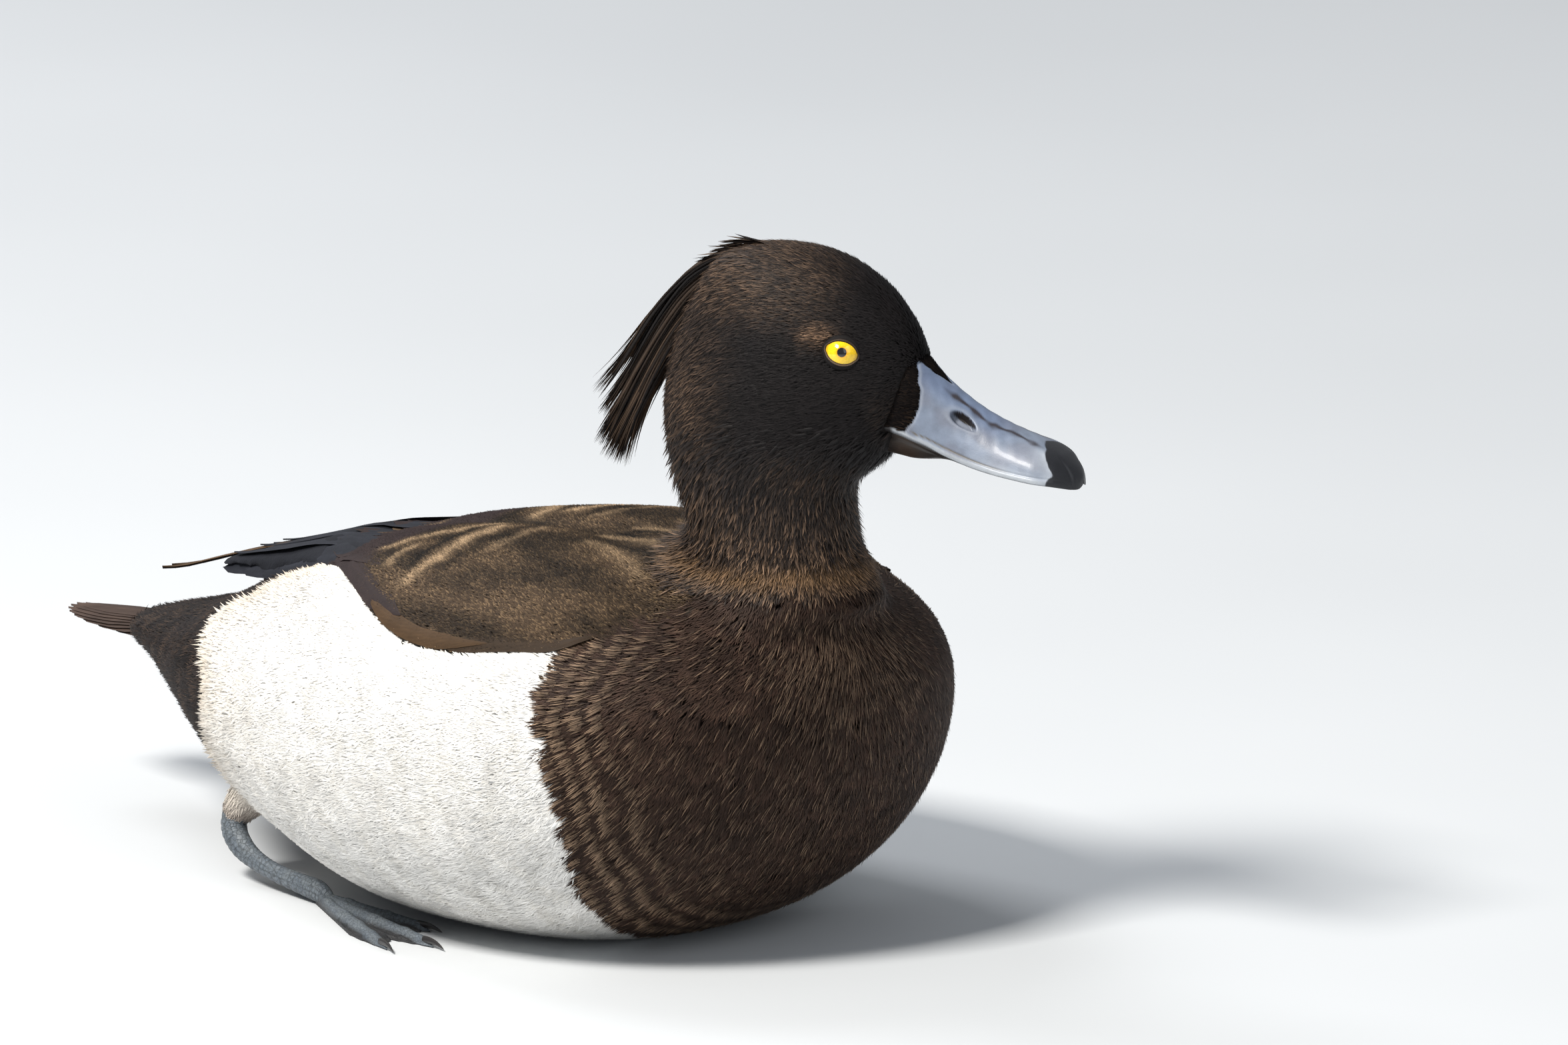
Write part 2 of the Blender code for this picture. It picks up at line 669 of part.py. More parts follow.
BLACK = (0.012, 0.010, 0.009)
for obj, material, rgb, rough in (
    (trunk, "trunk_feathers", (0.55, 0.54, 0.52), 0.75),
    (neck, "neck_feathers", (0.020, 0.014, 0.011), 0.70),
    (head, "head_feathers", BLACK, 0.62),
    (crest, "crest_feathers", (0.020, 0.013, 0.010), 0.55),
    (bill_upper, "bill_horn", (0.30, 0.36, 0.42), 0.30),
    (bill_lower, "bill_underside", (0.06, 0.07, 0.08), 0.40),
    (eyes["right"], "eye", (0.85, 0.65, 0.02), 0.06),
    (eyes["left"], "eye", (0.85, 0.65, 0.02), 0.06),
    (wings["right"], "wing_feathers", (0.060, 0.042, 0.028), 0.66),
    (wings["left"], "wing_feathers", (0.060, 0.042, 0.028), 0.66),
    (tail, "tail_feathers", (0.055, 0.040, 0.032), 0.65),
    (legs["right"], "leg_skin", (0.10, 0.12, 0.13), 0.50),
    (legs["left"], "leg_skin", (0.10, 0.12, 0.13), 0.50),
    (feet["right"], "web_skin", (0.04, 0.045, 0.05), 0.50),
    (feet["left"], "web_skin", (0.04, 0.045, 0.05), 0.50),
):
    finish_shape(obj)
    colour(obj, material, rgb, rough)
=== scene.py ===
"""Looks of the tufted duck drake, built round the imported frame.

Lengths in the tables are millimetres in the bird's own frame: X towards the breast from the
middle of the trunk, Y towards its left, Z up from the floor. mm_to_row() turns them into the
row's metres. The head has a plan of its own, turned to the bird's left by HEAD_YAW.
"""

import math

import bmesh
import bpy
import numpy as np
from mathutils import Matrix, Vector
from mathutils.bvhtree import BVHTree
from mathutils.kdtree import KDTree


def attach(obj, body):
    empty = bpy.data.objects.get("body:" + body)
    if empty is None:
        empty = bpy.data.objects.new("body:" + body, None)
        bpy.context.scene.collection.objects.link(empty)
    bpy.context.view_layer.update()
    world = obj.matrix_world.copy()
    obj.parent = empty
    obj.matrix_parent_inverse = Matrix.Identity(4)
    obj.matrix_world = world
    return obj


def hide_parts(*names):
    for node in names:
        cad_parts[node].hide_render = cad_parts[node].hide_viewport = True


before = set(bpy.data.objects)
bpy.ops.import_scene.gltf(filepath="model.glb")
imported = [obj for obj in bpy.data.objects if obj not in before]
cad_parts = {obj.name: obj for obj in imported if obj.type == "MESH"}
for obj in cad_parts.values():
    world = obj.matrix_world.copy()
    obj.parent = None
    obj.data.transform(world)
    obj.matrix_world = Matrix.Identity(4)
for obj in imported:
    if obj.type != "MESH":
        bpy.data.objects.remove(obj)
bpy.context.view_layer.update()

ORIGIN_X = 4.17
NECK_X = 84.0
HEAD_YAW = math.radians(24.0)
PATCH = 0.003            # side of a tuft's patch on the coat's map

# ================================================================ body form
TRUNK = np.array((
    (-124.5, 5.0, 47.6, 44.4, 46.0, 2.0, 2.0),
    (-116.5, 15.5, 49.8, 42.2, 46.2, 2.2, 2.0),
    (-101.0, 25.5, 54.2, 38.8, 47.0, 2.1, 2.0),
    (-82.0, 38.5, 60.8, 31.0, 47.5, 2.1, 2.0),
    (-60.0, 52.5, 70.8, 17.0, 47.5, 2.15, 2.0),
    (-34.0, 64.5, 80.0, 4.0, 47.5, 2.2, 2.1),
    (-6.0, 72.0, 86.0, -2.5, 48.0, 2.25, 2.3),
    (24.0, 75.0, 90.3, -3.5, 49.0, 2.25, 2.35),
    (52.0, 73.0, 91.8, -1.5, 51.0, 2.2, 2.3),
    (74.0, 65.0, 90.6, 5.5, 53.5, 2.1, 2.2),
    (91.0, 51.5, 86.5, 17.0, 56.5, 2.0, 2.1),
    (102.5, 34.5, 79.2, 32.0, 59.5, 2.0, 2.0),
    (108.8, 17.0, 71.3, 47.0, 61.5, 2.0, 2.0),
    (110.8, 0.5, 63.5, 61.5, 62.5, 2.0, 2.0),
))
MOUND = dict(x=82.0, height=17.0, length=21.0, width=19.0)
HEAD = np.array((
    (84.0, 27.0, -23.0, 25.5, 0.50, 2.0, 0.10),
    (91.0, 22.0, -18.6, 21.0, 0.50, 2.0, 0.25),
    (98.5, 18.6, -19.4, 19.4, 0.47, 2.0, 0.45),
    (106.0, 18.0, -21.8, 19.0, 0.45, 2.0, 0.70),
    (112.0, 17.6, -23.9, 19.2, 0.44, 2.0, 0.90),
    (116.5, 22.6, -25.2, 19.6, 0.43, 2.0, 1.00),
    (121.0, 28.9, -26.3, 20.0, 0.43, 2.0, 1.00),
    (127.0, 33.2, -27.1, 20.2, 0.43, 2.05, 1.00),
    (134.0, 36.5, -27.0, 20.0, 0.44, 2.05, 1.00),
    (141.0, 37.4, -25.8, 19.2, 0.46, 2.0, 1.00),
    (148.0, 35.2, -23.8, 18.1, 0.47, 2.0, 1.00),
    (154.5, 31.5, -21.3, 16.4, 0.48, 2.0, 1.00),
    (160.6, 25.9, -18.3, 13.9, 0.49, 2.0, 1.00),
    (165.5, 18.2, -14.0, 10.2, 0.50, 2.0, 1.00),
    (168.0, 10.4, -7.0, 5.6, 0.50, 2.0, 1.00),
    (168.6, 3.4, -0.5, 0.9, 0.50, 2.0, 1.00),
))
WING = np.array((
    (73.5, 36.5, 43.5, 0.3),
    (68.0, 28.5, 53.5, 1.0),
    (56.0, 21.0, 59.0, 1.8),
    (40.0, 12.0, 63.3, 2.3),
    (24.0, 5.5, 62.8, 2.6),
    (6.0, 2.0, 55.8, 2.8),
    (-14.0, 0.8, 42.8, 2.8),
    (-34.0, 0.5, 28.5, 2.6),
    (-54.0, 0.4, 19.5, 2.4),
    (-74.0, 0.4, 14.0, 2.2),
    (-94.0, 0.4, 8.5, 2.0),
    (-109.0, 0.4, 4.6, 1.6),
    (-118.0, 0.4, 1.6, 0.8),
))
PRIMARY_LINE = np.array(((-50.0, 78.6), (-66.0, 73.2), (-85.0, 67.6), (-100.0, 62.6), (-118.0, 57.6)))


def spline(rows, t):
    """Catmull-Rom through the rows at t, 0 to 1 over the whole list. t may be an array."""
    rows = np.asarray(rows, float)
    t = np.asarray(t, float)
    last = len(rows) - 1
    s = np.clip(t, 0, 1) * last
    i = np.minimum(s.astype(int), last - 1)
    f = (s - i)[..., None]
    p1, p2 = rows[i], rows[i + 1]
    p0 = np.where((i > 0)[..., None], rows[np.maximum(i - 1, 0)], 2 * p1 - p2)
    p3 = np.where((i + 2 <= last)[..., None], rows[np.minimum(i + 2, last)], 2 * p2 - p1)
    return 0.5 * (2 * p1 + (p2 - p0) * f + (2 * p0 - 5 * p1 + 4 * p2 - p3) * f ** 2
                  + (3 * p1 - p0 - 3 * p2 + p3) * f ** 3)


def power(value, exponent):
    return np.sign(value) * np.abs(value) ** exponent


def smooth(a, b, x):
    """0 below a, 1 above b, smooth between. a may be the larger one."""
    t = np.clip((np.asarray(x, float) - a) / (b - a), 0, 1)
    return t * t * (3 - 2 * t)


def unit(v):
    return v / np.maximum(np.linalg.norm(v, axis=-1, keepdims=True), 1e-9)


def mix(a, b, share):
    share = np.asarray(share, float)
    if np.ndim(a) or np.ndim(b):
        share = share[..., None]
    return np.asarray(a, float) * (1 - share) + np.asarray(b, float) * share


def mm_to_row(points):
    return (np.asarray(points, float) - (ORIGIN_X, 0, 0)) * 0.001


_T = np.linspace(0, 1, 600)
_TRUNK_X = spline(TRUNK, _T)[:, 0]
_HEAD_Z = spline(HEAD, _T)[:, 0]


def trunk_at_x(x):
    return spline(TRUNK, np.interp(x, _TRUNK_X, _T))


def head_at_z(z):
    return spline(HEAD, np.interp(z, _HEAD_Z, _T))


def mound(x, y):
    return MOUND["height"] * np.exp(-((x - MOUND["x"]) / MOUND["length"]) ** 2 - (y / MOUND["width"]) ** 2)


def top_of_trunk(x, y):
    s = trunk_at_x(x)
    half, top, wide, n = s[..., 1], s[..., 2], s[..., 4], s[..., 5]
    inside = np.maximum(0.0, 1 - np.minimum(1.0, np.abs(y) / half) ** n)
    return wide + (top - wide) * inside ** (1 / n) + mound(x, y) * inside ** (2 / n)


def head_to_bird(x, y, z):
    """From the head's plan to the bird's frame, at the full turn of the head."""
    c, s = math.cos(HEAD_YAW), math.sin(HEAD_YAW)
    x, y, z = np.broadcast_arrays(np.asarray(x, float), np.asarray(y, float), np.asarray(z, float))
    return np.stack([NECK_X + x * c - y * s, x * s + y * c, z], -1)


def turn_to_bird(v):
    c, s = math.cos(HEAD_YAW), math.sin(HEAD_YAW)
    v = np.asarray(v, float)
    return np.stack([v[..., 0] * c - v[..., 1] * s, v[..., 0] * s + v[..., 1] * c, v[..., 2]], -1)


def yaw_at(z):
    return HEAD_YAW * np.clip(head_at_z(z)[..., 6], 0, 1)


def bird_to_head(p):
    """Into the plan of the head or neck at the level of each point."""
    p = np.asarray(p, float)
    yaw = yaw_at(p[..., 2])
    c, s = np.cos(yaw), np.sin(yaw)
    dx, dy = p[..., 0] - NECK_X, p[..., 1]
    return dx * c + dy * s, -dx * s + dy * c, p[..., 2]


def trunk_surface(rings=150, sides=160):
    t = np.linspace(0, 1, rings)[:, None]
    a = np.linspace(0, 2 * math.pi, sides, endpoint=False)[None, :]
    r = spline(TRUNK, np.repeat(t, sides, 1))
    x, half, top, bottom, wide, n_top, n_bottom = np.moveaxis(r, -1, 0)
    c, s = np.cos(a) + 0 * x, np.sin(a) + 0 * x
    n = np.where(c > 0, n_top, n_bottom)
    y = half * power(s, 2 / n)
    z_up = wide + (top - wide) * power(c, 2 / n) + mound(x, y) * c * c
    z_down = wide + (wide - bottom) * power(c, 2 / n)
    z = np.where(c > 0, z_up, z_down)
    return np.stack([x, y, np.maximum(z, 0.0)], -1)


def head_surface(rings=110, sides=110):
    t = np.linspace(0, 1, rings)[:, None]
    a = np.linspace(0, 2 * math.pi, sides, endpoint=False)[None, :]
    r = spline(HEAD, np.repeat(t, sides, 1))
    z, front, back, half, place, n, share = np.moveaxis(r, -1, 0)
    middle = back + place * (front - back)
    c, s = np.cos(a) + 0 * z, np.sin(a) + 0 * z
    reach = np.where(c > 0, front - middle, middle - back)
    x = middle + reach * power(c, 2 / n)
    y = half * power(s, 2 / n)
    yaw = HEAD_YAW * np.clip(share, 0, 1)
    return np.stack([NECK_X + x * np.cos(yaw) - y * np.sin(yaw), x * np.sin(yaw) + y * np.cos(yaw), z], -1)


def wing_top(x, y):
    line = np.interp(-x, -PRIMARY_LINE[:, 0], PRIMARY_LINE[:, 1]) - 0.010 * y * y
    share = smooth(-50, -26, x)
    return (1 - share) * line + share * top_of_trunk(x, y)


def wing_surface(side, rings=90, steps=22, sink=0.0, stop=0.835):
    t = np.linspace(0, stop, rings)
    r = spline(WING, t)
    x, inner, outer, rise = np.moveaxis(r, -1, 0)
    s = np.linspace(0, 1, steps)[None, :]
    y = inner[:, None] + (outer - inner)[:, None] * s
    xx = np.repeat(x[:, None], steps, 1)
    base = wing_top(xx, y)
    crown = 0.35 + 0.65 * (1 - (2 * s - 1) ** 4)
    free = np.clip((-40 - x) / 30, 0, 1)[:, None]
    depth = (1 - free) * 3.4 + free * 3.0 * (0.45 + 1.65 * (1 - t[:, None]))
    upper = np.stack([xx, side * y, base + (rise[:, None] - sink) * crown], -1)
    depth = depth * (0.45 + 0.55 * smooth(stop, stop - 0.10, t))[:, None]
    lower = np.stack([xx, side * y, base - np.maximum(depth, 1.0) + 0 * y], -1)
    return np.concatenate([upper, lower[:, ::-1]], 1)


WING_EDGE = spline(WING, np.linspace(0, 1, 400))


def wing_outer(x):
    """Distance of the folded wing's outer edge from the middle of the back."""
    return np.interp(-np.asarray(x, float), -WING_EDGE[:, 0], WING_EDGE[:, 2])


# ================================================================ mesh making
scene = bpy.context.scene


def link(obj):
    scene.collection.objects.link(obj)
    return obj


def new_mesh(name, points, faces, row=True):
    mesh = bpy.data.meshes.new(name)
    mesh.from_pydata([tuple(p) for p in (mm_to_row(points) if row else points)], [], faces)
    mesh.update()
    return mesh


def tube_faces(rings, sides, closed=True, caps=True, offset=0):
    i = np.arange(rings - 1)[:, None]
    j = np.arange(sides if closed else sides - 1)[None, :]
    k = (j + 1) % sides
    a, b = i * sides + j, i * sides + k
    quads = np.stack([a, b, b + sides, a + sides], -1).reshape(-1, 4) + offset
    faces = [tuple(int(v) for v in q) for q in quads]
    if caps:
        faces.append(tuple(offset + v for v in range(sides))[::-1])
        faces.append(tuple(offset + (rings - 1) * sides + v for v in range(sides)))
    return faces


def grid_object(name, grid, closed=True, caps=True):
    rings, sides = grid.shape[:2]
    mesh = new_mesh(name, grid.reshape(-1, 3), tube_faces(rings, sides, closed, caps))
    bm = bmesh.new()
    bm.from_mesh(mesh)
    bmesh.ops.recalc_face_normals(bm, faces=bm.faces)
    if caps and bm.calc_volume(signed=True) < 0:
        bmesh.ops.reverse_faces(bm, faces=bm.faces)
    bm.to_mesh(mesh)
    bm.free()
    mesh.shade_smooth()
    return link(bpy.data.objects.new(name, mesh))


def evaluated_mesh(obj):
    graph = bpy.context.evaluated_depsgraph_get()
    return bpy.data.meshes.new_from_object(obj.evaluated_get(graph))


def remove(*objects):
    for obj in objects:
        mesh = obj.data
        bpy.data.objects.remove(obj, do_unlink=True)
        bpy.data.meshes.remove(mesh)


def mesh_arrays(mesh):
    """Vertices and normals in millimetres of the bird's frame, and the triangles."""
    mesh.calc_loop_triangles()
    v = np.empty(len(mesh.vertices) * 3)
    mesh.vertices.foreach_get("co", v)
    n = np.empty(len(mesh.vertices) * 3)
    mesh.vertices.foreach_get("normal", n)
    f = np.empty(len(mesh.loop_triangles) * 3, np.int32)
    mesh.loop_triangles.foreach_get("vertices", f)
    return v.reshape(-1, 3) * 1000 + (ORIGIN_X, 0, 0), n.reshape(-1, 3), f.reshape(-1, 3)


def joined(name, grids):
    points, faces, at = [], [], 0
    for grid in grids:
        rings, sides = grid.shape[:2]
        points.append(grid.reshape(-1, 3))
        faces += tube_faces(rings, sides, offset=at)
        at += rings * sides
    mesh = new_mesh(name, np.concatenate(points), faces)
    bm = bmesh.new()
    bm.from_mesh(mesh)
    bmesh.ops.recalc_face_normals(bm, faces=bm.faces)
    bm.to_mesh(mesh)
    bm.free()
    return link(bpy.data.objects.new(name, mesh))


# ================================================================ the outer surface of the coat
form = joined("form", [trunk_surface(), head_surface(), wing_surface(-1), wing_surface(1)])
shape = form.modifiers.new("even", "REMESH")
shape.mode = "VOXEL"
shape.voxel_size = 0.0015
ease = form.modifiers.new("ease", "SMOOTH")
ease.factor, ease.iterations = 0.5, 5
first_mesh = evaluated_mesh(form)
remove(form)
form = link(bpy.data.objects.new("form", first_mesh))
OUT_V = mesh_arrays(first_mesh)[0]
share = smooth(74, 84, OUT_V[:, 2]) * smooth(106, 96, OUT_V[:, 2]) * smooth(48, 38, np.hypot(OUT_V[:, 0] - NECK_X, OUT_V[:, 1]))
group = form.vertex_groups.new(name="join")
for step in range(1, 11):
    chosen = np.nonzero(np.round(share * 10).astype(int) == step)[0]
    if len(chosen):
        group.add(chosen.tolist(), step / 10, "REPLACE")
ease = form.modifiers.new("ease", "SMOOTH")
ease.factor, ease.iterations, ease.vertex_group = 0.5, 70, "join"
outer_mesh = evaluated_mesh(form)
remove(form)
OUT_V, OUT_N, OUT_F = mesh_arrays(outer_mesh)
OUT_V[:, 2] = np.maximum(OUT_V[:, 2], 0.0)
outer = BVHTree.FromPolygons([tuple(p) for p in OUT_V], [tuple(int(i) for i in f) for f in OUT_F])


def surface_height(x, y):
    hit = outer.ray_cast(Vector((float(x), float(y), 400.0)), Vector((0, 0, -1)))
    return hit[0].z if hit[0] else 40.0


# ---------------------------------------------------------------- the eyes
EYE_RADIUS, EYE_SUNK, EYE_X, EYE_Z = 5.2, 3.8, 20.9, 147.2


def eye_place(side):
    """Centre and outward axis of an eye in the bird's frame."""
    def depth(x, z):
        _, front, back, half, place, n, _ = head_at_z(z)
        middle = back + place * (front - back)
        reach = front - middle if x > middle else middle - back
        return half * max(0.0, 1 - abs((x - middle) / reach) ** n) ** (1 / n)
    y = depth(EYE_X, EYE_Z)
    normal = np.array([-(depth(EYE_X + 0.5, EYE_Z) - depth(EYE_X - 0.5, EYE_Z)), 1.0,
                       -(depth(EYE_X, EYE_Z + 0.5) - depth(EYE_X, EYE_Z - 0.5))])
    normal /= np.linalg.norm(normal)
    point = np.array([EYE_X, side * y, EYE_Z])
    normal = normal * (1, side, 1)
    centre = point - normal * EYE_SUNK
    return head_to_bird(*centre), turn_to_bird(normal)


EYES = {side: eye_place(side) for side in (-1, 1)}


def eye_frame(side):
    """Axes of an eye: forwards towards the bill along the face, up, and outwards."""
    centre, out = EYES[side]
    forward = turn_to_bird(np.array([1.0, 0.0, -0.10]))
    forward = unit(forward - out * (forward @ out))
    up = np.cross(out, forward) * (1 if side < 0 else -1)
    up = unit(up)
    if up[2] < 0:
        up = -up
    return centre, forward, up, out


def eye_distance(p):
    """How far a point of the face is from the lids' edge, 0 on it and negative inside."""
    best = np.full(len(p), 99.0)
    for side in (-1, 1):
        centre, forward, up, out = eye_frame(side)
        d = p - centre
        a, b, c = d @ forward, d @ up, d @ out
        r = np.sqrt((a / 4.15) ** 2 + (b / 3.15) ** 2)
        gap = np.where(c > 0, (r - 1) * 3.5, 99.0)
        best = np.minimum(best, gap)
    return best


# ---------------------------------------------------------------- the bill's sections
# x in the head's plan, top, cutting edge, half width, squareness
BILL = np.array((
    (25.0, 143.0, 129.0, 8.5, 2.4),
    (33.0, 145.2, 127.2, 9.6, 2.6),
    (36.2, 143.7, 126.0, 9.6, 2.6),
    (39.5, 140.6, 124.9, 9.3, 2.25),
    (44.0, 137.2, 122.9, 9.1, 1.9),
    (50.0, 133.2, 120.9, 9.4, 1.8),
    (56.0, 130.1, 119.6, 9.9, 1.9),
    (62.0, 127.6, 118.8, 10.6, 2.1),
    (66.5, 126.0, 118.3, 10.9, 2.3),
    (69.8, 124.3, 117.8, 9.7, 2.4),
    (72.0, 122.4, 117.0, 7.2, 2.3),
    (73.6, 120.7, 116.3, 4.7, 2.1),
    (74.5, 119.0, 116.1, 2.3, 2.0),
    (74.8, 117.8, 116.7, 0.4, 2.0),
))
LOWER = np.array((
    (27.0, 127.2, 120.5, 5.5, 2.0),
    (33.0, 127.0, 119.8, 7.2, 2.0),
    (40.0, 124.5, 118.6, 8.0, 2.0),
    (48.0, 121.4, 117.2, 8.3, 2.1),
    (58.0, 119.1, 116.1, 8.9, 2.2),
    (65.5, 118.3, 115.7, 9.2, 2.2),
    (70.0, 117.6, 115.6, 7.0, 2.2),
    (72.3, 116.8, 115.8, 2.0, 2.0),
))
_BX = spline(BILL, _T)[:, 0]


def inside_bill(p, margin=0.25):
    x, y, z = bird_to_head(p)
    s = spline(BILL, np.interp(x, _BX, _T))
    top, bottom, half, n = s[..., 1], s[..., 2], s[..., 3], s[..., 4]
    up = np.clip((z - bottom) / (top - bottom), 0, 1)
    width = half * (1 - up ** n) ** (1 / n)
    upper = (z > bottom - 0.6) & (z < top + margin) & (np.abs(y) < width + margin)
    lower = (z > 119.5) & (z <= bottom) & (np.abs(y) < half * 0.8 * smooth(118.5, 123, z)) & (x > 28)
    return (x > 28) & (p[:, 2] > 112) & (upper | lower)


def bill_nearness(p):
    """1 at the feathers' edge by the bill, falling to 0 about 6 mm from it."""
    x, y, z = bird_to_head(p)
    s = spline(BILL, np.interp(np.clip(x, 30, 50), _BX, _T))
    middle = (s[..., 1] + s[..., 2]) / 2
    r = np.sqrt((np.abs(y) / 9.3) ** 2 + ((z - middle) / 9.5) ** 2)
    return np.where((x > 20) & (z > 112), 1 - smooth(1.0, 1.6, r), 0.0)


# ================================================================ markings
WHITE = np.array((0.76, 0.748, 0.722))
CREAM = np.array((0.60, 0.47, 0.32))
BLACK = np.array((0.0078, 0.0066, 0.0068))
BROWN_BLACK = np.array((0.0145, 0.0102, 0.0086))
# SHEEN is a painted sheen: the warm brown that sunlit black feathers show
SHEEN = np.array((0.105, 0.066, 0.042))
COLLAR = np.array((0.135, 0.078, 0.038))
BACK_DARK = np.array((0.0200, 0.0126, 0.0075))
BACK_TAN = np.array((0.205, 0.136, 0.074))
STREAK = np.array((0.380, 0.262, 0.155))
PLUM = np.array((0.0263, 0.0148, 0.0104))
SLATE = np.array((0.0165, 0.0180, 0.0240))
TERTIAL = np.array((0.0215, 0.0142, 0.0140))


def ripple(p, size, seed=0):
    """Smooth pseudo-noise in -1 to 1, from a few sines, the same on skin and coat."""
    q = np.asarray(p, float) / size + seed * 3.7
    x, y, z = q[..., 0], q[..., 1], q[..., 2]
    return (np.sin(1.7 * x + 1.3 * np.sin(1.1 * y + z)) + np.sin(1.9 * y + 1.1 * np.sin(1.3 * z + 0.7 * x))
            + np.sin(2.1 * z + 1.2 * np.sin(0.9 * x + 1.7 * y))) / 3


FRONT_EDGE = np.array(((0, 62.0), (12, 69.0), (25, 74.0), (41, 75.4), (48, 74.6), (57, 72.2), (61, 70.8),
                       (65.5, 69.0), (69, 68.5), (73.4, 68.6), (78.5, 69.2), (95, 70.0)))
REAR_EDGE = np.array(((0, -46.0), (20, -49.0), (40, -46.5), (50, -45.0), (54.4, -45.4), (58, -51.5),
                      (60.6, -55.0), (63.5, -59.0), (65.7, -56.5), (69, -50.0), (72.5, -46.5), (77, -41.5), (82, -38.0)))


def regions(p):
    """Weights of the marking regions at points of the bird: white, back, breast, rump, neck, head."""
    p = np.asarray(p, float)
    x, y, z = p[..., 0], np.abs(p[..., 1]), p[..., 2]
    fine = ripple(p, 2.2, 1) * 0.9 + ripple(p, 0.9, 2) * 0.6
    front = np.interp(z, FRONT_EDGE[:, 0], FRONT_EDGE[:, 1]) + fine * 1.1
    rear = np.interp(z, REAR_EDGE[:, 0], REAR_EDGE[:, 1]) + fine * 1.0
    under_wing = (z > 60) & (y < wing_outer(x) + 0.25) & (x < 73.5)
    # the mantle: between the wings and back from the neck's root
    shoulder = np.interp(y, (0, 21.6, 26.4, 33.4, 39.9, 45.7, 50.9, 56), (88.0, 83.4, 81.6, 79.7, 77.4, 74.4, 70.8, 66.0))
    mantle = (z > 70) & (x < shoulder + fine) & ((y < wing_outer(x) + 0.25) | (x > 66))
    head_x = x - NECK_X
    neck = (z > 90.5 + fine) & ((np.hypot(x - 86, p[..., 1]) < 27 + 1.5 * fine) | (z > 102))
    head = z > 99.5 + fine
    back = (under_wing | mantle) & (x > -38) & ~neck
    tips = (under_wing & (x <= -38)) & ~neck
    white = (x < front) & (x > rear) & ~back & ~tips & ~neck & (z < 84)
    rump = (x <= rear) & ~back & ~tips & ~neck
    breast = (x >= front) & ~back & ~neck
    return dict(white=white, back=back, tips=tips, breast=breast, rump=rump, neck=neck & ~head, head=head & neck | (z > 104))


LIGHT_BANDS = (
    (((5.5, 12), (6.5, 24), (8.5, 37), (8.5, 47)), 2.3, 0.85),
    (((0, 5), (-4, 15), (-12, 23), (-17, 29)), 2.2, 0.75),
    (((-30, 5), (-38, 2.5), (-44, 1)), 1.9, 0.55),
    (((-7, 29), (-5.5, 39)), 1.5, 0.6),
    (((17, 10), (19, 22), (20, 31)), 1.7, 0.35),
    (((34, 6), (50, 8), (62, 14)), 2.0, 0.55),
    (((40, 17), (54, 22), (66, 27)), 2.4, 0.40),
)
DARK_BANDS = (
    (((0, 13), (1, 27), (3.5, 41)), 2.3, 0.9),
    (((13, 8), (14, 24), (15, 40)), 2.6, 0.6),
    (((-9, 5), (-14, 13), (-20, 21)), 2.4, 0.7),
    (((36, 2), (56, 9), (72, 20)), 1.7, 0.95),
    (((38, 12), (52, 16), (66, 22)), 1.8, 0.6),
)


def band(x, y, path, half):
    """1 on a line of the back's plan, falling to 0 beside it."""
    best = np.full(np.shape(x), 1e6)
    for (x0, y0), (x1, y1) in zip(path[:-1], path[1:]):
        t = np.clip(((x - x0) * (x1 - x0) + (y - y0) * (y1 - y0)) / ((x1 - x0) ** 2 + (y1 - y0) ** 2), 0, 1)
        best = np.minimum(best, np.hypot(x - x0 - t * (x1 - x0), y - y0 - t * (y1 - y0)))
    return np.exp(-(best / half) ** 2)


def tip_bands(p):
    """The soft tan bands of the long feathers' tips over the wing, and the dark bands between them."""
    x = p[..., 0] + 1.3 * ripple(p, 3.0, 14)
    y = np.abs(p[..., 1]) + 1.3 * ripple(p, 3.6, 15)
    light, dark = np.zeros(np.shape(x)), np.zeros(np.shape(x))
    for path, half, share in LIGHT_BANDS:
        light = np.maximum(light, share * band(x, y, path, half))
    for path, half, share in DARK_BANDS:
        dark = np.maximum(dark, share * band(x, y, path, half))
    return light, dark * (1 - light)


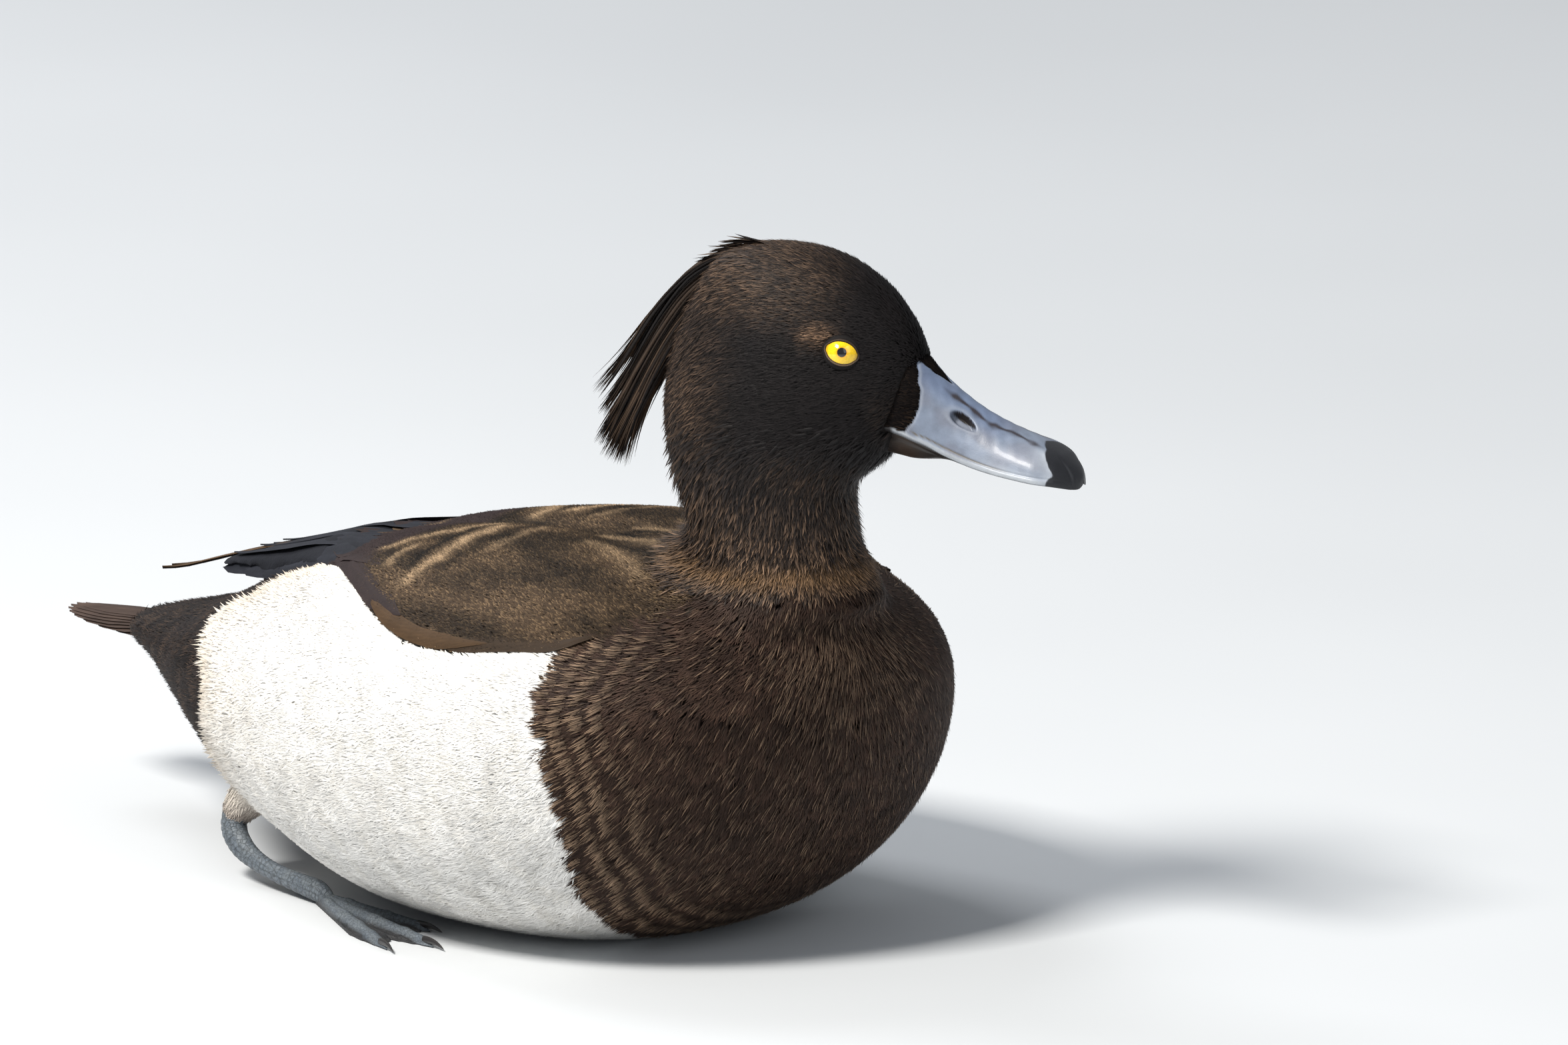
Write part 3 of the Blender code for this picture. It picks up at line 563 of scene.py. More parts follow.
def base_colour(p, random=None):
    """Colour of the plumage at a root, in linear light."""
    p = np.asarray(p, float)
    r = regions(p)
    x, z = p[..., 0], p[..., 2]
    soft = ripple(p, 7.0, 3) * 0.5 + 0.5
    if random is None:
        random = np.full(len(p), 0.5)
    out = np.zeros((len(p), 3)) + BROWN_BLACK
    rear = np.interp(z, REAR_EDGE[:, 0], REAR_EDGE[:, 1])
    cream = np.exp(-np.maximum(0, x - rear) / 11.0) * 0.75 * (0.45 + 0.55 * soft)
    white = mix(WHITE, CREAM, np.clip(cream, 0, 1))
    white = white * (1 - 0.05 * (ripple(p, 4.0, 5) * 0.5 + 0.5))[..., None]
    out = np.where(r["white"][..., None], white, out)
    speck = smooth(0.50, 0.92, random)
    q = p * (0.45, 1.0, 1.0)
    cloud = 0.42 + 0.95 * smooth(-0.75, 0.85, ripple(q, 6.0, 6) + 0.35 * ripple(p, 2.6, 12))
    lengthwise = smooth(10, 45, x) * smooth(40, 14, np.abs(p[..., 1]))
    cloud = cloud * (1 + lengthwise * 0.75 * ripple(p * (0.22, 1.0, 0.6), 2.4, 7))
    lower = smooth(34, 52, np.abs(p[..., 1])) * smooth(-12, 4, x)
    back = mix(BACK_DARK * (1 + 0.4 * lower)[..., None], BACK_TAN, 0.03 + 0.48 * speck) * np.clip(cloud, 0.25, 2)[..., None]
    light, dark = tip_bands(p)
    back = back * (1 - 0.92 * dark)[..., None]
    back = mix(back, STREAK * (0.6 + 0.6 * random)[..., None], np.clip(light, 0, 1) * (0.50 + 0.5 * random))
    tertial = smooth(-9, -16, x + 0.12 * np.abs(p[..., 1]))
    back = mix(back, TERTIAL * (0.8 + 0.5 * random)[..., None], tertial * (1 - np.clip(light, 0, 1)))
    out = np.where(r["back"][..., None], back, out)
    out = np.where(r["tips"][..., None], SLATE * 0.8, out)
    # The breast: dark plum with a painted sheen on random feathers, stronger on the front of the breast
    front_sheen = np.exp(-(((x - 108) / 9.0) ** 2 + ((p[..., 1] - 6) / 13.0) ** 2 + ((z - 71) / 11.0) ** 2))
    breast = mix(PLUM * 0.85, SHEEN * 0.8, smooth(0.62 - 0.4 * front_sheen, 1.0, random) * (0.25 + 0.45 * soft + 0.6 * front_sheen))
    out = np.where(r["breast"][..., None], breast, out)
    rump = mix(BLACK * 1.2, BROWN_BLACK * 1.3, random)
    out = np.where(r["rump"][..., None], rump, out)
    collar = np.exp(-((z - 94.6 - 1.6 * ripple(p, 9.0, 8)) / 2.7) ** 2) * (0.12 + 0.88 * smooth(60, 72, x)) * (0.35 + 0.65 * smooth(112, 98, x))
    # Neck feathers: dark, with a painted sheen on random tips
    neck_tip = mix(BROWN_BLACK * 0.7, SHEEN * 1.3, smooth(0.45, 1.0, random) * 0.85)
    neck = mix(neck_tip, mix(COLLAR * 0.35, COLLAR * 1.15, random), np.clip(collar, 0, 1) * 0.9)
    out = np.where(r["neck"][..., None], neck, out)
    hx, hy, hz = bird_to_head(p)
    crown = smooth(148, 161, hz) * smooth(26, 6, hx)
    nape = smooth(2, -20, hx) * smooth(165, 150, hz) * 0.8
    lower = smooth(118, 106, hz) * 0.55
    chin = np.exp(-((hz - 117.5) / 4.5) ** 2 - ((hx - 10) / 9.0) ** 2) * 0.55
    back_of_eye = np.exp(-((hx - 16.6) / 3.0) ** 2 - ((hz - 150.6) / 2.4) ** 2) * 0.85
    near_bill = bill_nearness(p) * smooth(142, 128, hz) * 0.75
    lit = np.clip(np.maximum.reduce([crown * 0.74, nape * 0.72, lower, chin, near_bill * 0.6]), 0, 1)
    streak = smooth(0.35, 1.0, random)
    head = mix(BLACK, SHEEN, lit * (0.12 + 0.88 * streak) * (0.55 + 0.45 * soft))
    head = mix(head, np.array((0.24, 0.145, 0.088)), np.clip(back_of_eye, 0, 1) * (0.2 + 0.8 * streak))
    low_neck = smooth(107, 100, hz)
    head = mix(head, neck, low_neck)
    return np.where(r["head"][..., None], head, out)


# ================================================================ materials
def material(name):
    m = bpy.data.materials.new(name)
    m.use_nodes = True
    nodes = m.node_tree.nodes
    shader = nodes["Principled BSDF"]
    return m, nodes, m.node_tree.links, shader


def node(nodes, kind, **values):
    n = nodes.new(kind)
    for key, value in values.items():
        if key in n.inputs:
            n.inputs[key].default_value = value
        else:
            setattr(n, key, value)
    return n


def ramp(nodes, links, factor, stops, interpolation="LINEAR"):
    n = nodes.new("ShaderNodeValToRGB")
    n.color_ramp.interpolation = interpolation
    while len(n.color_ramp.elements) < len(stops):
        n.color_ramp.elements.new(0.5)
    for element, (place, colour) in zip(n.color_ramp.elements, stops):
        element.position = place
        element.color = (*colour, 1.0) if len(colour) == 3 else colour
    links.new(factor, n.inputs["Fac"])
    return n.outputs["Color"]


def noise(nodes, links, scale, detail=3.0, rough=0.55, vector=None, distortion=0.0):
    n = nodes.new("ShaderNodeTexNoise")
    n.inputs["Scale"].default_value = scale
    n.inputs["Detail"].default_value = detail
    n.inputs["Roughness"].default_value = rough
    n.inputs["Distortion"].default_value = distortion
    if vector is not None:
        links.new(vector, n.inputs["Vector"])
    return n.outputs["Fac"]


def object_coordinates(nodes, links, scale=(1, 1, 1)):
    c = nodes.new("ShaderNodeTexCoord")
    m = nodes.new("ShaderNodeMapping")
    m.inputs["Scale"].default_value = scale
    links.new(c.outputs["Object"], m.inputs["Vector"])
    return m.outputs["Vector"]


def maths(nodes, links, operation, a, b=None, clamp=False):
    n = nodes.new("ShaderNodeMath")
    n.operation = operation
    n.use_clamp = clamp
    for socket, value in ((n.inputs[0], a), (n.inputs[1], b)):
        if value is None:
            continue
        if isinstance(value, (int, float)):
            socket.default_value = value
        else:
            links.new(value, socket)
    return n.outputs[0]


def mix_colour(nodes, links, factor, a, b, blend="MIX"):
    n = nodes.new("ShaderNodeMix")
    n.data_type = "RGBA"
    n.blend_type = blend
    for socket, value in ((n.inputs[0], factor), (n.inputs[6], a), (n.inputs[7], b)):
        if isinstance(value, (int, float)):
            socket.default_value = value
        elif isinstance(value, (tuple, list, np.ndarray)):
            socket.default_value = (*[float(v) for v in value], 1.0)
        else:
            links.new(value, socket)
    return n.outputs[2]


def attribute(nodes, name, output="Fac"):
    n = nodes.new("ShaderNodeAttribute")
    n.attribute_name = name
    return n.outputs[output]


def bump(nodes, links, height, strength, distance):
    n = nodes.new("ShaderNodeBump")
    n.inputs["Strength"].default_value = strength
    n.inputs["Distance"].default_value = distance
    links.new(height, n.inputs["Height"])
    return n.outputs["Normal"]


def feather_material(name, rough=(0.50, 0.70), specular=0.35, sheen=0.0, sheen_tint=(1, 1, 1), tip=1.25,
                     grain=2600.0, grain_depth=0.00006, root=0.75, through=0.0, coat=0.0):
    m, nodes, links, shader = material(name)
    tint = attribute(nodes, "tint", "Color")
    along = attribute(nodes, "along")
    chance = attribute(nodes, "rnd")
    where = object_coordinates(nodes, links)
    cloud = noise(nodes, links, 160.0, 3.0, 0.6, where)
    fine = noise(nodes, links, grain, 2.0, 0.6, where)
    # Along each feather the colour runs from the root value to the tip value: painted shade on the covered roots,
    # painted light on the free tips
    light = ramp(nodes, links, along, ((0.0, (root,) * 3), (0.45, (1.0,) * 3), (1.0, (tip,) * 3)))
    vary = ramp(nodes, links, cloud, ((0.25, (0.80,) * 3), (0.75, (1.16,) * 3)))
    each = ramp(nodes, links, chance, ((0.0, (0.84,) * 3), (1.0, (1.14,) * 3)))
    colour = mix_colour(nodes, links, 1.0, tint, light, "MULTIPLY")
    colour = mix_colour(nodes, links, 1.0, colour, vary, "MULTIPLY")
    colour = mix_colour(nodes, links, 1.0, colour, each, "MULTIPLY")
    links.new(colour, shader.inputs["Base Color"])
    span = nodes.new("ShaderNodeMapRange")
    links.new(fine, span.inputs["Value"])
    span.inputs["To Min"].default_value, span.inputs["To Max"].default_value = rough
    links.new(span.outputs[0], shader.inputs["Roughness"])
    links.new(bump(nodes, links, fine, 0.5, grain_depth), shader.inputs["Normal"])
    shader.inputs["Specular IOR Level"].default_value = specular
    shader.inputs["Sheen Weight"].default_value = sheen
    shader.inputs["Sheen Tint"].default_value = (*sheen_tint, 1)
    shader.inputs["Sheen Roughness"].default_value = 0.4
    shader.inputs["Coat Weight"].default_value = coat
    if through:
        shader.inputs["Subsurface Weight"].default_value = through
        shader.inputs["Subsurface Radius"].default_value = (0.002, 0.0018, 0.0015)
        shader.inputs["Subsurface Scale"].default_value = 1.0
    return m


# ================================================================ tufts
rng = np.random.RandomState(20260)


def sample(count_per_mm2, inside, vertices=None, normals=None, faces=None, seed=1):
    """Random points on a surface with their normals, where inside(points) holds."""
    v = OUT_V if vertices is None else vertices
    n = OUT_N if normals is None else normals
    f = OUT_F if faces is None else faces
    draw = np.random.RandomState(seed)
    a, b, c = v[f[:, 0]], v[f[:, 1]], v[f[:, 2]]
    area = np.linalg.norm(np.cross(b - a, c - a), axis=1) / 2
    middle = (a + b + c) / 3
    rough_keep = inside(middle)
    area = np.where(rough_keep, area, 0)
    total = area.sum()
    if total <= 0:
        return np.zeros((0, 3)), np.zeros((0, 3))
    count = int(total * count_per_mm2)
    pick = draw.choice(len(f), count, p=area / total)
    s, t = np.sqrt(draw.rand(count)), draw.rand(count)
    w = np.stack([1 - s, s * (1 - t), s * t], 1)[..., None]
    p = (v[f[pick]] * w).sum(1)
    q = unit((n[f[pick]] * w).sum(1))
    keep = inside(p)
    return p[keep], q[keep]


def spread(p, n, gap, seed=3):
    """Thins points so that no two are nearer than gap."""
    order = np.random.RandomState(seed).permutation(len(p))
    cells, keep = {}, []
    size = gap
    for i in order:
        key = tuple(np.floor(p[i] / size).astype(int))
        ok = True
        for dx in (-1, 0, 1):
            for dy in (-1, 0, 1):
                for dz in (-1, 0, 1):
                    for j in cells.get((key[0] + dx, key[1] + dy, key[2] + dz), ()):
                        if ((p[i] - p[j]) ** 2).sum() < gap * gap:
                            ok = False
                            break
                    if not ok:
                        break
                if not ok:
                    break
            if not ok:
                break
        if ok:
            cells.setdefault(key, []).append(i)
            keep.append(i)
    keep = np.array(sorted(keep), int)
    return p[keep], n[keep]


def scallops(p, n, gap, seed=3):
    """Where each root lies in its feather: the share of the way out to the feather's rounded tip, and a number for it."""
    few = np.random.RandomState(seed).permutation(len(p))[:int(len(p) * 0.4)]
    q, m = spread(p[few], n[few], gap, seed)
    tree = KDTree(len(q))
    for i, c in enumerate(q):
        tree.insert(c, i)
    tree.balance()
    near = np.array([tree.find(c)[1] for c in p])
    d = flow(p, n)
    rel = p - q[near]
    ahead = (rel * d).sum(1) / (gap * 0.62)
    side = (rel * np.cross(n, d)).sum(1) / (gap * 0.62)
    rim = smooth(0.45, 0.95, np.hypot(ahead, side * 0.9)) * smooth(-0.25, 0.35, ahead)
    return rim, np.random.RandomState(seed + 1).rand(len(q))[near]


def flow(p, n):
    """The lie of the coat: unit directions from root to tip, along the surface."""
    x, y, z = p[:, 0], p[:, 1], p[:, 2]
    hx, hy, hz = bird_to_head(p)
    rear = smooth(6, -20, hx)
    low = smooth(130, 108, hz)
    down = 0.05 + 0.9 * rear + 1.6 * low
    down = down * smooth(170, 152, hz) + 0.0
    ahead = -1.0 * (1 - 0.75 * low)
    chin = smooth(126, 117, hz) * smooth(6, 24, hx)
    down = down * (1 - 0.6 * chin)
    head = np.stack([ahead, 0.12 * np.sign(hy) * smooth(6, 18, hx), -down], 1)
    yaw = yaw_at(z)
    c, s = np.cos(yaw), np.sin(yaw)
    head = unit(np.stack([head[:, 0] * c - head[:, 1] * s, head[:, 0] * s + head[:, 1] * c, head[:, 2]], 1))
    dx, dy = x - NECK_X, y
    r = np.maximum(np.hypot(dx, dy), 1e-6)
    root = unit(np.stack([dx / r * 0.9 - 0.35, dy / r * 0.9, -0.8 + 0 * r], 1))
    side = np.tanh(y / 9.0)
    breast = unit(np.stack([-0.75 + 0 * x, 0.25 * side, -0.85 + 0 * x], 1))
    flank = unit(np.stack([-1.0 + 0 * x, -0.02 * side, -0.14 + 0 * x], 1))
    tail = unit(np.stack([-1.0 + 0 * x, -0.10 * side, 0 * x], 1))
    body = mix(flank, breast, smooth(58, 96, x))
    body = mix(body, tail, smooth(-40, -90, x))
    body = mix(body, root, smooth(42, 24, r) * smooth(70, 84, z))
    d = mix(body, head, smooth(92, 99, z))
    d = d - n * (d * n).sum(1)[:, None]
    return unit(d)


def wobble(d, n, degrees, draw):
    a = np.radians(draw.normal(0, 1, len(d)) * degrees)[:, None]
    return unit(d * np.cos(a) + np.cross(n, d) * np.sin(a))


def march(p, n, d, length, tree=None):
    """Three points along the surface from each root, with the surface's normals there."""
    tree = tree or outer
    count = len(p)
    points = np.empty((count, 3, 3))
    normals = np.empty((count, 3, 3))
    points[:, 0], normals[:, 0] = p, n
    half = length * 0.5
    first = p + d * half[:, None]
    find = tree.find_nearest
    for i in range(count):
        hit = find(first[i])
        points[i, 1] = hit[0]
        normals[i, 1] = hit[1]
    step = points[:, 1] - p
    normals[:, 1] = unit(normals[:, 1] + n)
    along = unit(step - normals[:, 1] * (step * normals[:, 1]).sum(1)[:, None])
    second = points[:, 1] + along * half[:, None]
    for i in range(count):
        hit = find(second[i])
        points[i, 2] = hit[0]
        normals[i, 2] = hit[1]
    normals[:, 2] = unit(normals[:, 2] + normals[:, 1])
    return points, normals


def lagrange(v, t):
    """Value at t, 0 to 1, of three samples at 0, 1/2 and 1 along axis 1."""
    t = t[..., None]
    return v[:, 0] * (1 - t) * (1 - 2 * t) + v[:, 1] * 4 * t * (1 - t) + v[:, 2] * t * (2 * t - 1)


def trunk_chart(p):
    """Unwrap of the trunk: along its length, and round it from the belly."""
    middle = 46.0
    angle = np.arctan2(p[:, 1], -(p[:, 2] - middle))
    return np.stack([(p[:, 0] + 132) / 250, angle / (2 * math.pi) + 0.5], 1)


def head_chart(p):
    """Unwrap of the head and neck: round them, and from the neck's root to the crown."""
    hx, hy, hz = bird_to_head(p)
    around = np.arctan2(hy, hx - 5)
    rise = np.where(hz < 140, (hz - 84) * 0.9, 50.4 + np.degrees(np.arctan2(hz - 140, np.hypot(hx - 5, hy) + 1e-6)) * 0.47)
    return np.stack([around / (2 * math.pi) + 0.5, rise / 94.0], 1)


class Coat:
    """Collects blades and vanes and writes them as one mesh."""

    def __init__(self, name):
        self.name = name
        self.v, self.n, self.f, self.tint, self.along, self.rnd, self.uv = [], [], [], [], [], [], []
        self.count = 0
        self.triangles = 0

    def add(self, v, n, f, tint, along, rnd, uv):
        self.v.append(v); self.n.append(n); self.f.append(f + self.count)
        self.tint.append(tint); self.along.append(along); self.rnd.append(rnd); self.uv.append(uv)
        self.count += len(v)
        self.triangles += len(f)

    def write(self, mat, floor=0.15):
        v = np.concatenate(self.v)
        v[:, 2] = np.maximum(v[:, 2], floor)
        f = np.concatenate(self.f).astype(np.int32)
        mesh = bpy.data.meshes.new(self.name)
        mesh.vertices.add(len(v))
        mesh.vertices.foreach_set("co", mm_to_row(v).astype(np.float32).ravel())
        mesh.loops.add(f.size)
        mesh.loops.foreach_set("vertex_index", f.ravel())
        mesh.polygons.add(len(f))
        mesh.polygons.foreach_set("loop_start", (np.arange(len(f)) * 3).astype(np.int32))
        mesh.polygons.foreach_set("use_smooth", np.ones(len(f), bool))
        mesh.update(calc_edges=True)
        uv = mesh.uv_layers.new(name="OFBake")
        uv.data.foreach_set("uv", np.clip(np.concatenate(self.uv), 0, 1)[f.ravel()].astype(np.float32).ravel())
        tint = mesh.attributes.new("tint", "FLOAT_COLOR", "POINT")
        c = np.concatenate(self.tint)
        tint.data.foreach_set("color", np.concatenate([c, np.ones((len(c), 1))], 1).astype(np.float32).ravel())
        for key, values in (("along", self.along), ("rnd", self.rnd)):
            a = mesh.attributes.new(key, "FLOAT", "POINT")
            a.data.foreach_set("value", np.concatenate(values).astype(np.float32))
        mesh.normals_split_custom_set_from_vertices(unit(np.concatenate(self.n)).astype(np.float32))
        mesh.materials.append(mat)
        obj = link(bpy.data.objects.new(self.name, mesh))
        print(f"coat {self.name}: {len(f)} triangles")
        return obj


def blades(coat, p, n, length, width, tint, tip_tint=None, prongs=1, fan=14.0, lift=0.3, sink=0.8, chart=trunk_chart,
           jitter=8.0, curl=0.0, soft=0.7, seed=5, direction=None, tree=None, taper=0.8, ragged=0.25, belly=0.0):
    """Tufts of narrow pointed blades. Each prong is a strip of two lengths ending in a point.

    sink is how far the root lies under the outer surface, lift how far the tip stands over it.
    """
    draw = np.random.RandomState(seed)
    count = len(p)
    if not count:
        return
    length = np.broadcast_to(np.asarray(length, float), (count,)) * (1 + ragged * (draw.rand(count) - 0.5))
    width = np.broadcast_to(np.asarray(width, float), (count,)) * (1 + 0.3 * (draw.rand(count) - 0.5))
    lift = np.broadcast_to(np.asarray(lift, float), (count,)) * (0.4 + 1.2 * draw.rand(count))
    sink = np.broadcast_to(np.asarray(sink, float), (count,))
    d = flow(p, n) if direction is None else direction
    d = wobble(d, n, jitter, draw)
    points, normals = march(p, n, d, length, tree)
    root_uv = chart(p)
    stops = np.array((0.0, 0.5, 1.0))
    half_width = np.array((taper, 1.0, 0.0))
    for j in range(prongs):
        side = 0.0 if prongs == 1 else (2 * j / (prongs - 1) - 1)
        reach = (1 - 0.22 * abs(side)) * (1 + ragged * 0.8 * (draw.rand(count) - 0.5))
        angle = np.radians(side * fan + draw.normal(0, 0.25 * fan if prongs > 1 else 0.01, count))
        bend = draw.normal(0, 1, count) * curl
        raise_ = draw.rand(count)
        rows = []
        for k, t in enumerate(stops):
            tt = t * reach
            c = lagrange(points, tt)
            nn = unit(lagrange(normals, tt))
            ahead = lagrange(points, np.minimum(tt + 0.05, 1.3)) - lagrange(points, tt - 0.05)
            across = unit(np.cross(nn, ahead))
            over = -sink * (1 - t) ** 1.6 + lift * t ** 1.8 * (0.5 + raise_) + belly * math.sin(math.pi * t)
            shift = np.tan(angle) * tt * length + bend * t * t * length * 0.12
            shift = shift + side * width * (0.5 if prongs > 1 else 0)
            centre = c + nn * over[:, None] + across * shift[:, None]
            rows.append((centre, across, nn))
        verts, norms = [], []
        for k, (centre, across, nn) in enumerate(rows):
            w = (width * half_width[k] * 0.5)[:, None]
            if k < 2:
                verts += [centre - across * w, centre + across * w]
                norms += [unit(nn * soft + across * -(1 - soft)), unit(nn * soft + across * (1 - soft))]
            else:
                verts.append(centre)
                norms.append(nn)
        v = np.stack(verts, 1).reshape(-1, 3)
        nm = np.stack(norms, 1).reshape(-1, 3)
        base = (np.arange(count) * 5)[:, None, None]
        tri = np.array(((0, 3, 1), (0, 2, 3), (2, 4, 3)))[None] + base
        t = np.tile(np.array((0, 0, 0.5, 0.5, 1.0)), count)
        colour = np.repeat(tint, 5, 0).reshape(count, 5, 3).copy()
        if tip_tint is not None:
            colour[:, 2:4] = mix(tint, tip_tint, 0.4)[:, None]
            colour[:, 4] = tip_tint
        chance = np.repeat(draw.rand(count), 5)
        across_uv = np.array((-0.5, 0.5, -0.5, 0.5, 0.0)) * PATCH * 0.5
        along_uv = (np.array((0, 0, 0.5, 0.5, 1.0)) - 0.5) * PATCH
        uv = root_uv[:, None, :] + np.stack([along_uv, across_uv], 1)[None] + np.array((0, side * PATCH * 0.25))
        coat.add(v, nm, tri.reshape(-1, 3), colour.reshape(-1, 3), t, chance, uv.reshape(-1, 2))


def vanes(coat, p, n, length, width, tint, tip_tint=None, lift=0.6, sink=1.2, chart=trunk_chart, jitter=4.0,
          camber=0.12, soft=0.55, rows=6, cols=7, seed=9, direction=None, tree=None, blunt=2.6, fray=0.12, edge=None):
    """Broad overlapping feathers with a rounded, slightly frayed end."""
    draw = np.random.RandomState(seed)
    count = len(p)
    if not count:
        return
    length = np.broadcast_to(np.asarray(length, float), (count,)) * (1 + 0.16 * (draw.rand(count) - 0.5))
    width = np.broadcast_to(np.asarray(width, float), (count,)) * (1 + 0.16 * (draw.rand(count) - 0.5))
    lift = np.broadcast_to(np.asarray(lift, float), (count,)) * (0.7 + 0.6 * draw.rand(count))
    d = flow(p, n) if direction is None else direction
    d = wobble(d, n, jitter, draw)
    points, normals = march(p, n, d, length, tree)
    root_uv = chart(p)
    v = np.empty((count, rows + 1, cols, 3))
    nm = np.empty_like(v)
    tt = np.empty((count, rows + 1, cols))
    s = np.linspace(-1, 1, cols)
    for k in range(rows + 1):
        t0 = k / rows
        # the outline is a blunt arch: columns end at different lengths
        for j in range(cols):
            end = (1 - abs(s[j]) ** blunt) ** (1 / blunt) if abs(s[j]) < 1 else 0.0
            end = 0.30 + 0.70 * end
            far = end * (1 + fray * (draw.rand(count) - 0.5) * (k == rows))
            t = t0 * far
            c = lagrange(points, t)
            nn = unit(lagrange(normals, t))
            ahead = lagrange(points, t + 0.05) - lagrange(points, t - 0.05)
            across = unit(np.cross(nn, ahead))
            spread_ = (0.35 + 0.65 * np.sin(np.minimum(1.0, t * 1.5 + 0.12) * math.pi / 2)) * width * 0.5
            over = -sink * np.maximum(1 - t, 0) ** 1.3 + lift * t ** 1.6 - camber * spread_ * s[j] ** 2
            v[:, k, j] = c + nn * over[:, None] + across * (spread_ * s[j])[:, None]
            nm[:, k, j] = unit(nn + across * (s[j] * (1 - soft) * 0.6) + unit(ahead) * (t * (1 - soft) * 0.5)[:, None])
            tt[:, k, j] = t
    quad = []
    for k in range(rows):
        for j in range(cols - 1):
            a = k * cols + j
            quad += [(a, a + cols + 1, a + 1), (a, a + cols, a + cols + 1)]
    quad = np.array(quad)[None] + (np.arange(count) * (rows + 1) * cols)[:, None, None]
    each = (rows + 1) * cols
    colour = np.repeat(tint[:, None], each, 1).reshape(count, rows + 1, cols, 3)
    if tip_tint is not None:
        share = smooth(0.55, 1.0, tt)
        colour = colour * (1 - share[..., None]) + tip_tint[:, None, None, :] * share[..., None]
    if edge is not None:
        rim = smooth(0.55, 1.0, np.abs(s))[None, None, :, None] * smooth(0.25, 0.6, tt)[..., None]
        colour = colour * (1 - rim) + edge[:, None, None, :] * rim
    chance = np.repeat(draw.rand(count), each)
    uu = (tt - 0.5) * PATCH
    vv = np.broadcast_to(s * 0.5 * PATCH, tt.shape)
    uv = root_uv[:, None, None, :] + np.stack([uu, vv], -1)
    coat.add(v.reshape(-1, 3), nm.reshape(-1, 3), quad.reshape(-1, 3), colour.reshape(-1, 3), tt.ravel(), chance,
             uv.reshape(-1, 2))


def finish_piece(obj, slot, *nodes_):
    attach(obj, "root")
    if nodes_:
        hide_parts(*nodes_)
    return obj


# ================================================================ skin
def build_skin():
    depth_v = OUT_V.copy()
    r = regions(OUT_V)
    depth = np.where(OUT_V[:, 2] > 104, 0.75, 1.7)
    depth = np.where(r["white"] | r["breast"] | r["rump"], 1.9, depth)
    depth = np.where(r["back"], 1.1, depth)
    depth = np.where(r["tips"], 0.7, depth)
    depth = np.where(OUT_V[:, 2] < 1.0, 0.0, depth)
    low = smooth(0, 6, OUT_V[:, 2])
    v = OUT_V - OUT_N * (depth * np.maximum(low, 0.25))[:, None]
    v[:, 2] = np.maximum(v[:, 2], 0.0)
    mesh = outer_mesh
    mesh.name = "skin"
    mesh.vertices.foreach_set("co", mm_to_row(v).ravel())
    mesh.update()
    mesh.shade_smooth()
    tint = mesh.attributes.new("tint", "FLOAT_COLOR", "POINT")
    c = base_colour(OUT_V) * 0.9
    tint.data.foreach_set("color", np.concatenate([c, np.ones((len(c), 1))], 1).astype(np.float32).ravel())
    for key, value in (("along", 0.45), ("rnd", 0.5)):
        a = mesh.attributes.new(key, "FLOAT", "POINT")
        a.data.foreach_set("value", np.full(len(v), value, np.float32))
    mesh.materials.clear()
    mesh.materials.append(feather_material("plumage_skin", rough=(0.7, 0.9), specular=0.15, grain=1400.0, grain_depth=0.0003))
    obj = link(bpy.data.objects.new("skin", mesh))
    return finish_piece(obj, "trunk_feathers", "trunk", "neck", "head")


build_skin()

# ================================================================ coat
white_mat = feather_material("white_plumage", rough=(0.62, 0.85), specular=0.15, tip=1.04, root=0.90, grain=1800.0)
back_mat = feather_material("back_plumage", rough=(0.58, 0.74), specular=0.12, tip=1.2, root=0.8)
dark_mat = feather_material("breast_plumage", rough=(0.54, 0.70), specular=0.14, tip=1.3, root=0.75)
neck_mat = feather_material("neck_plumage", rough=(0.48, 0.64), specular=0.18, tip=1.6, root=0.5)
head_mat = feather_material("head_plumage", rough=(0.50, 0.66), specular=0.13, tip=1.35, root=0.7)


def near_floor(p, n):
    """Kept off the resting belly."""
    return ~((p[:, 2] < 1.2))


def on_trunk(p):
    """Roots on the trunk itself, and not on the free ends of the wings over the rump."""
    return (p[:, 0] > -44) | (p[:, 2] < top_of_trunk(p[:, 0], p[:, 1]) + 0.9)


def clear_of_wing(p, n, reach):
    """Roots and tips that stay off the wing's lower edge."""
    d = flow(p, n)
    tip = p + d * reach
    away = np.abs(tip[:, 1]) - wing_outer(tip[:, 0])
    near = np.abs(p[:, 1]) - wing_outer(p[:, 0])
    return (p[:, 2] < 60) | ((away > -0.3) & (near > 0.7 + 0.7 * smooth(30, 45, p[:, 0]))) | (tip[:, 0] < -46)


def white_coat():
    inside = lambda p: regions(p)["white"] & (p[:, 2] > 1.5) & on_trunk(p)
    for part in range(2):
        coat = Coat(f"flank_down_{part + 1}")
        p, n = sample(0.56, inside, seed=21 + part)
        keep = clear_of_wing(p, n, 6.0)
        p, n = p[keep], n[keep]
        rim, number = scallops(p, n, 7.5, 25)
        # Each feather's rounded edge is a little darker and warmer: painted shade where the feathers overlap
        tint = base_colour(p) * (1 - 0.055 * rim[:, None] * (1.0, 1.2, 1.6)) * (0.97 + 0.05 * number)[:, None]
        rear = np.interp(p[:, 2], REAR_EDGE[:, 0], REAR_EDGE[:, 1])
        loose = smooth(26, 0, p[:, 0] - rear)
        under_edge = smooth(8, 1, np.abs(p[:, 1]) - wing_outer(p[:, 0])) * (p[:, 2] > 60)
        blades(coat, p, n, (6.4 - 1.0 * loose) * (1 - 0.30 * under_edge), 0.74, tint * 0.98, tint * 1.03, prongs=4, fan=13 + 6 * part,
               lift=(0.20 + 0.95 * loose) * (1 - 0.8 * under_edge), sink=1.0, jitter=7, curl=0.7, soft=0.92, seed=31 + part)
        finish_piece(coat.write(white_mat), "trunk_feathers")


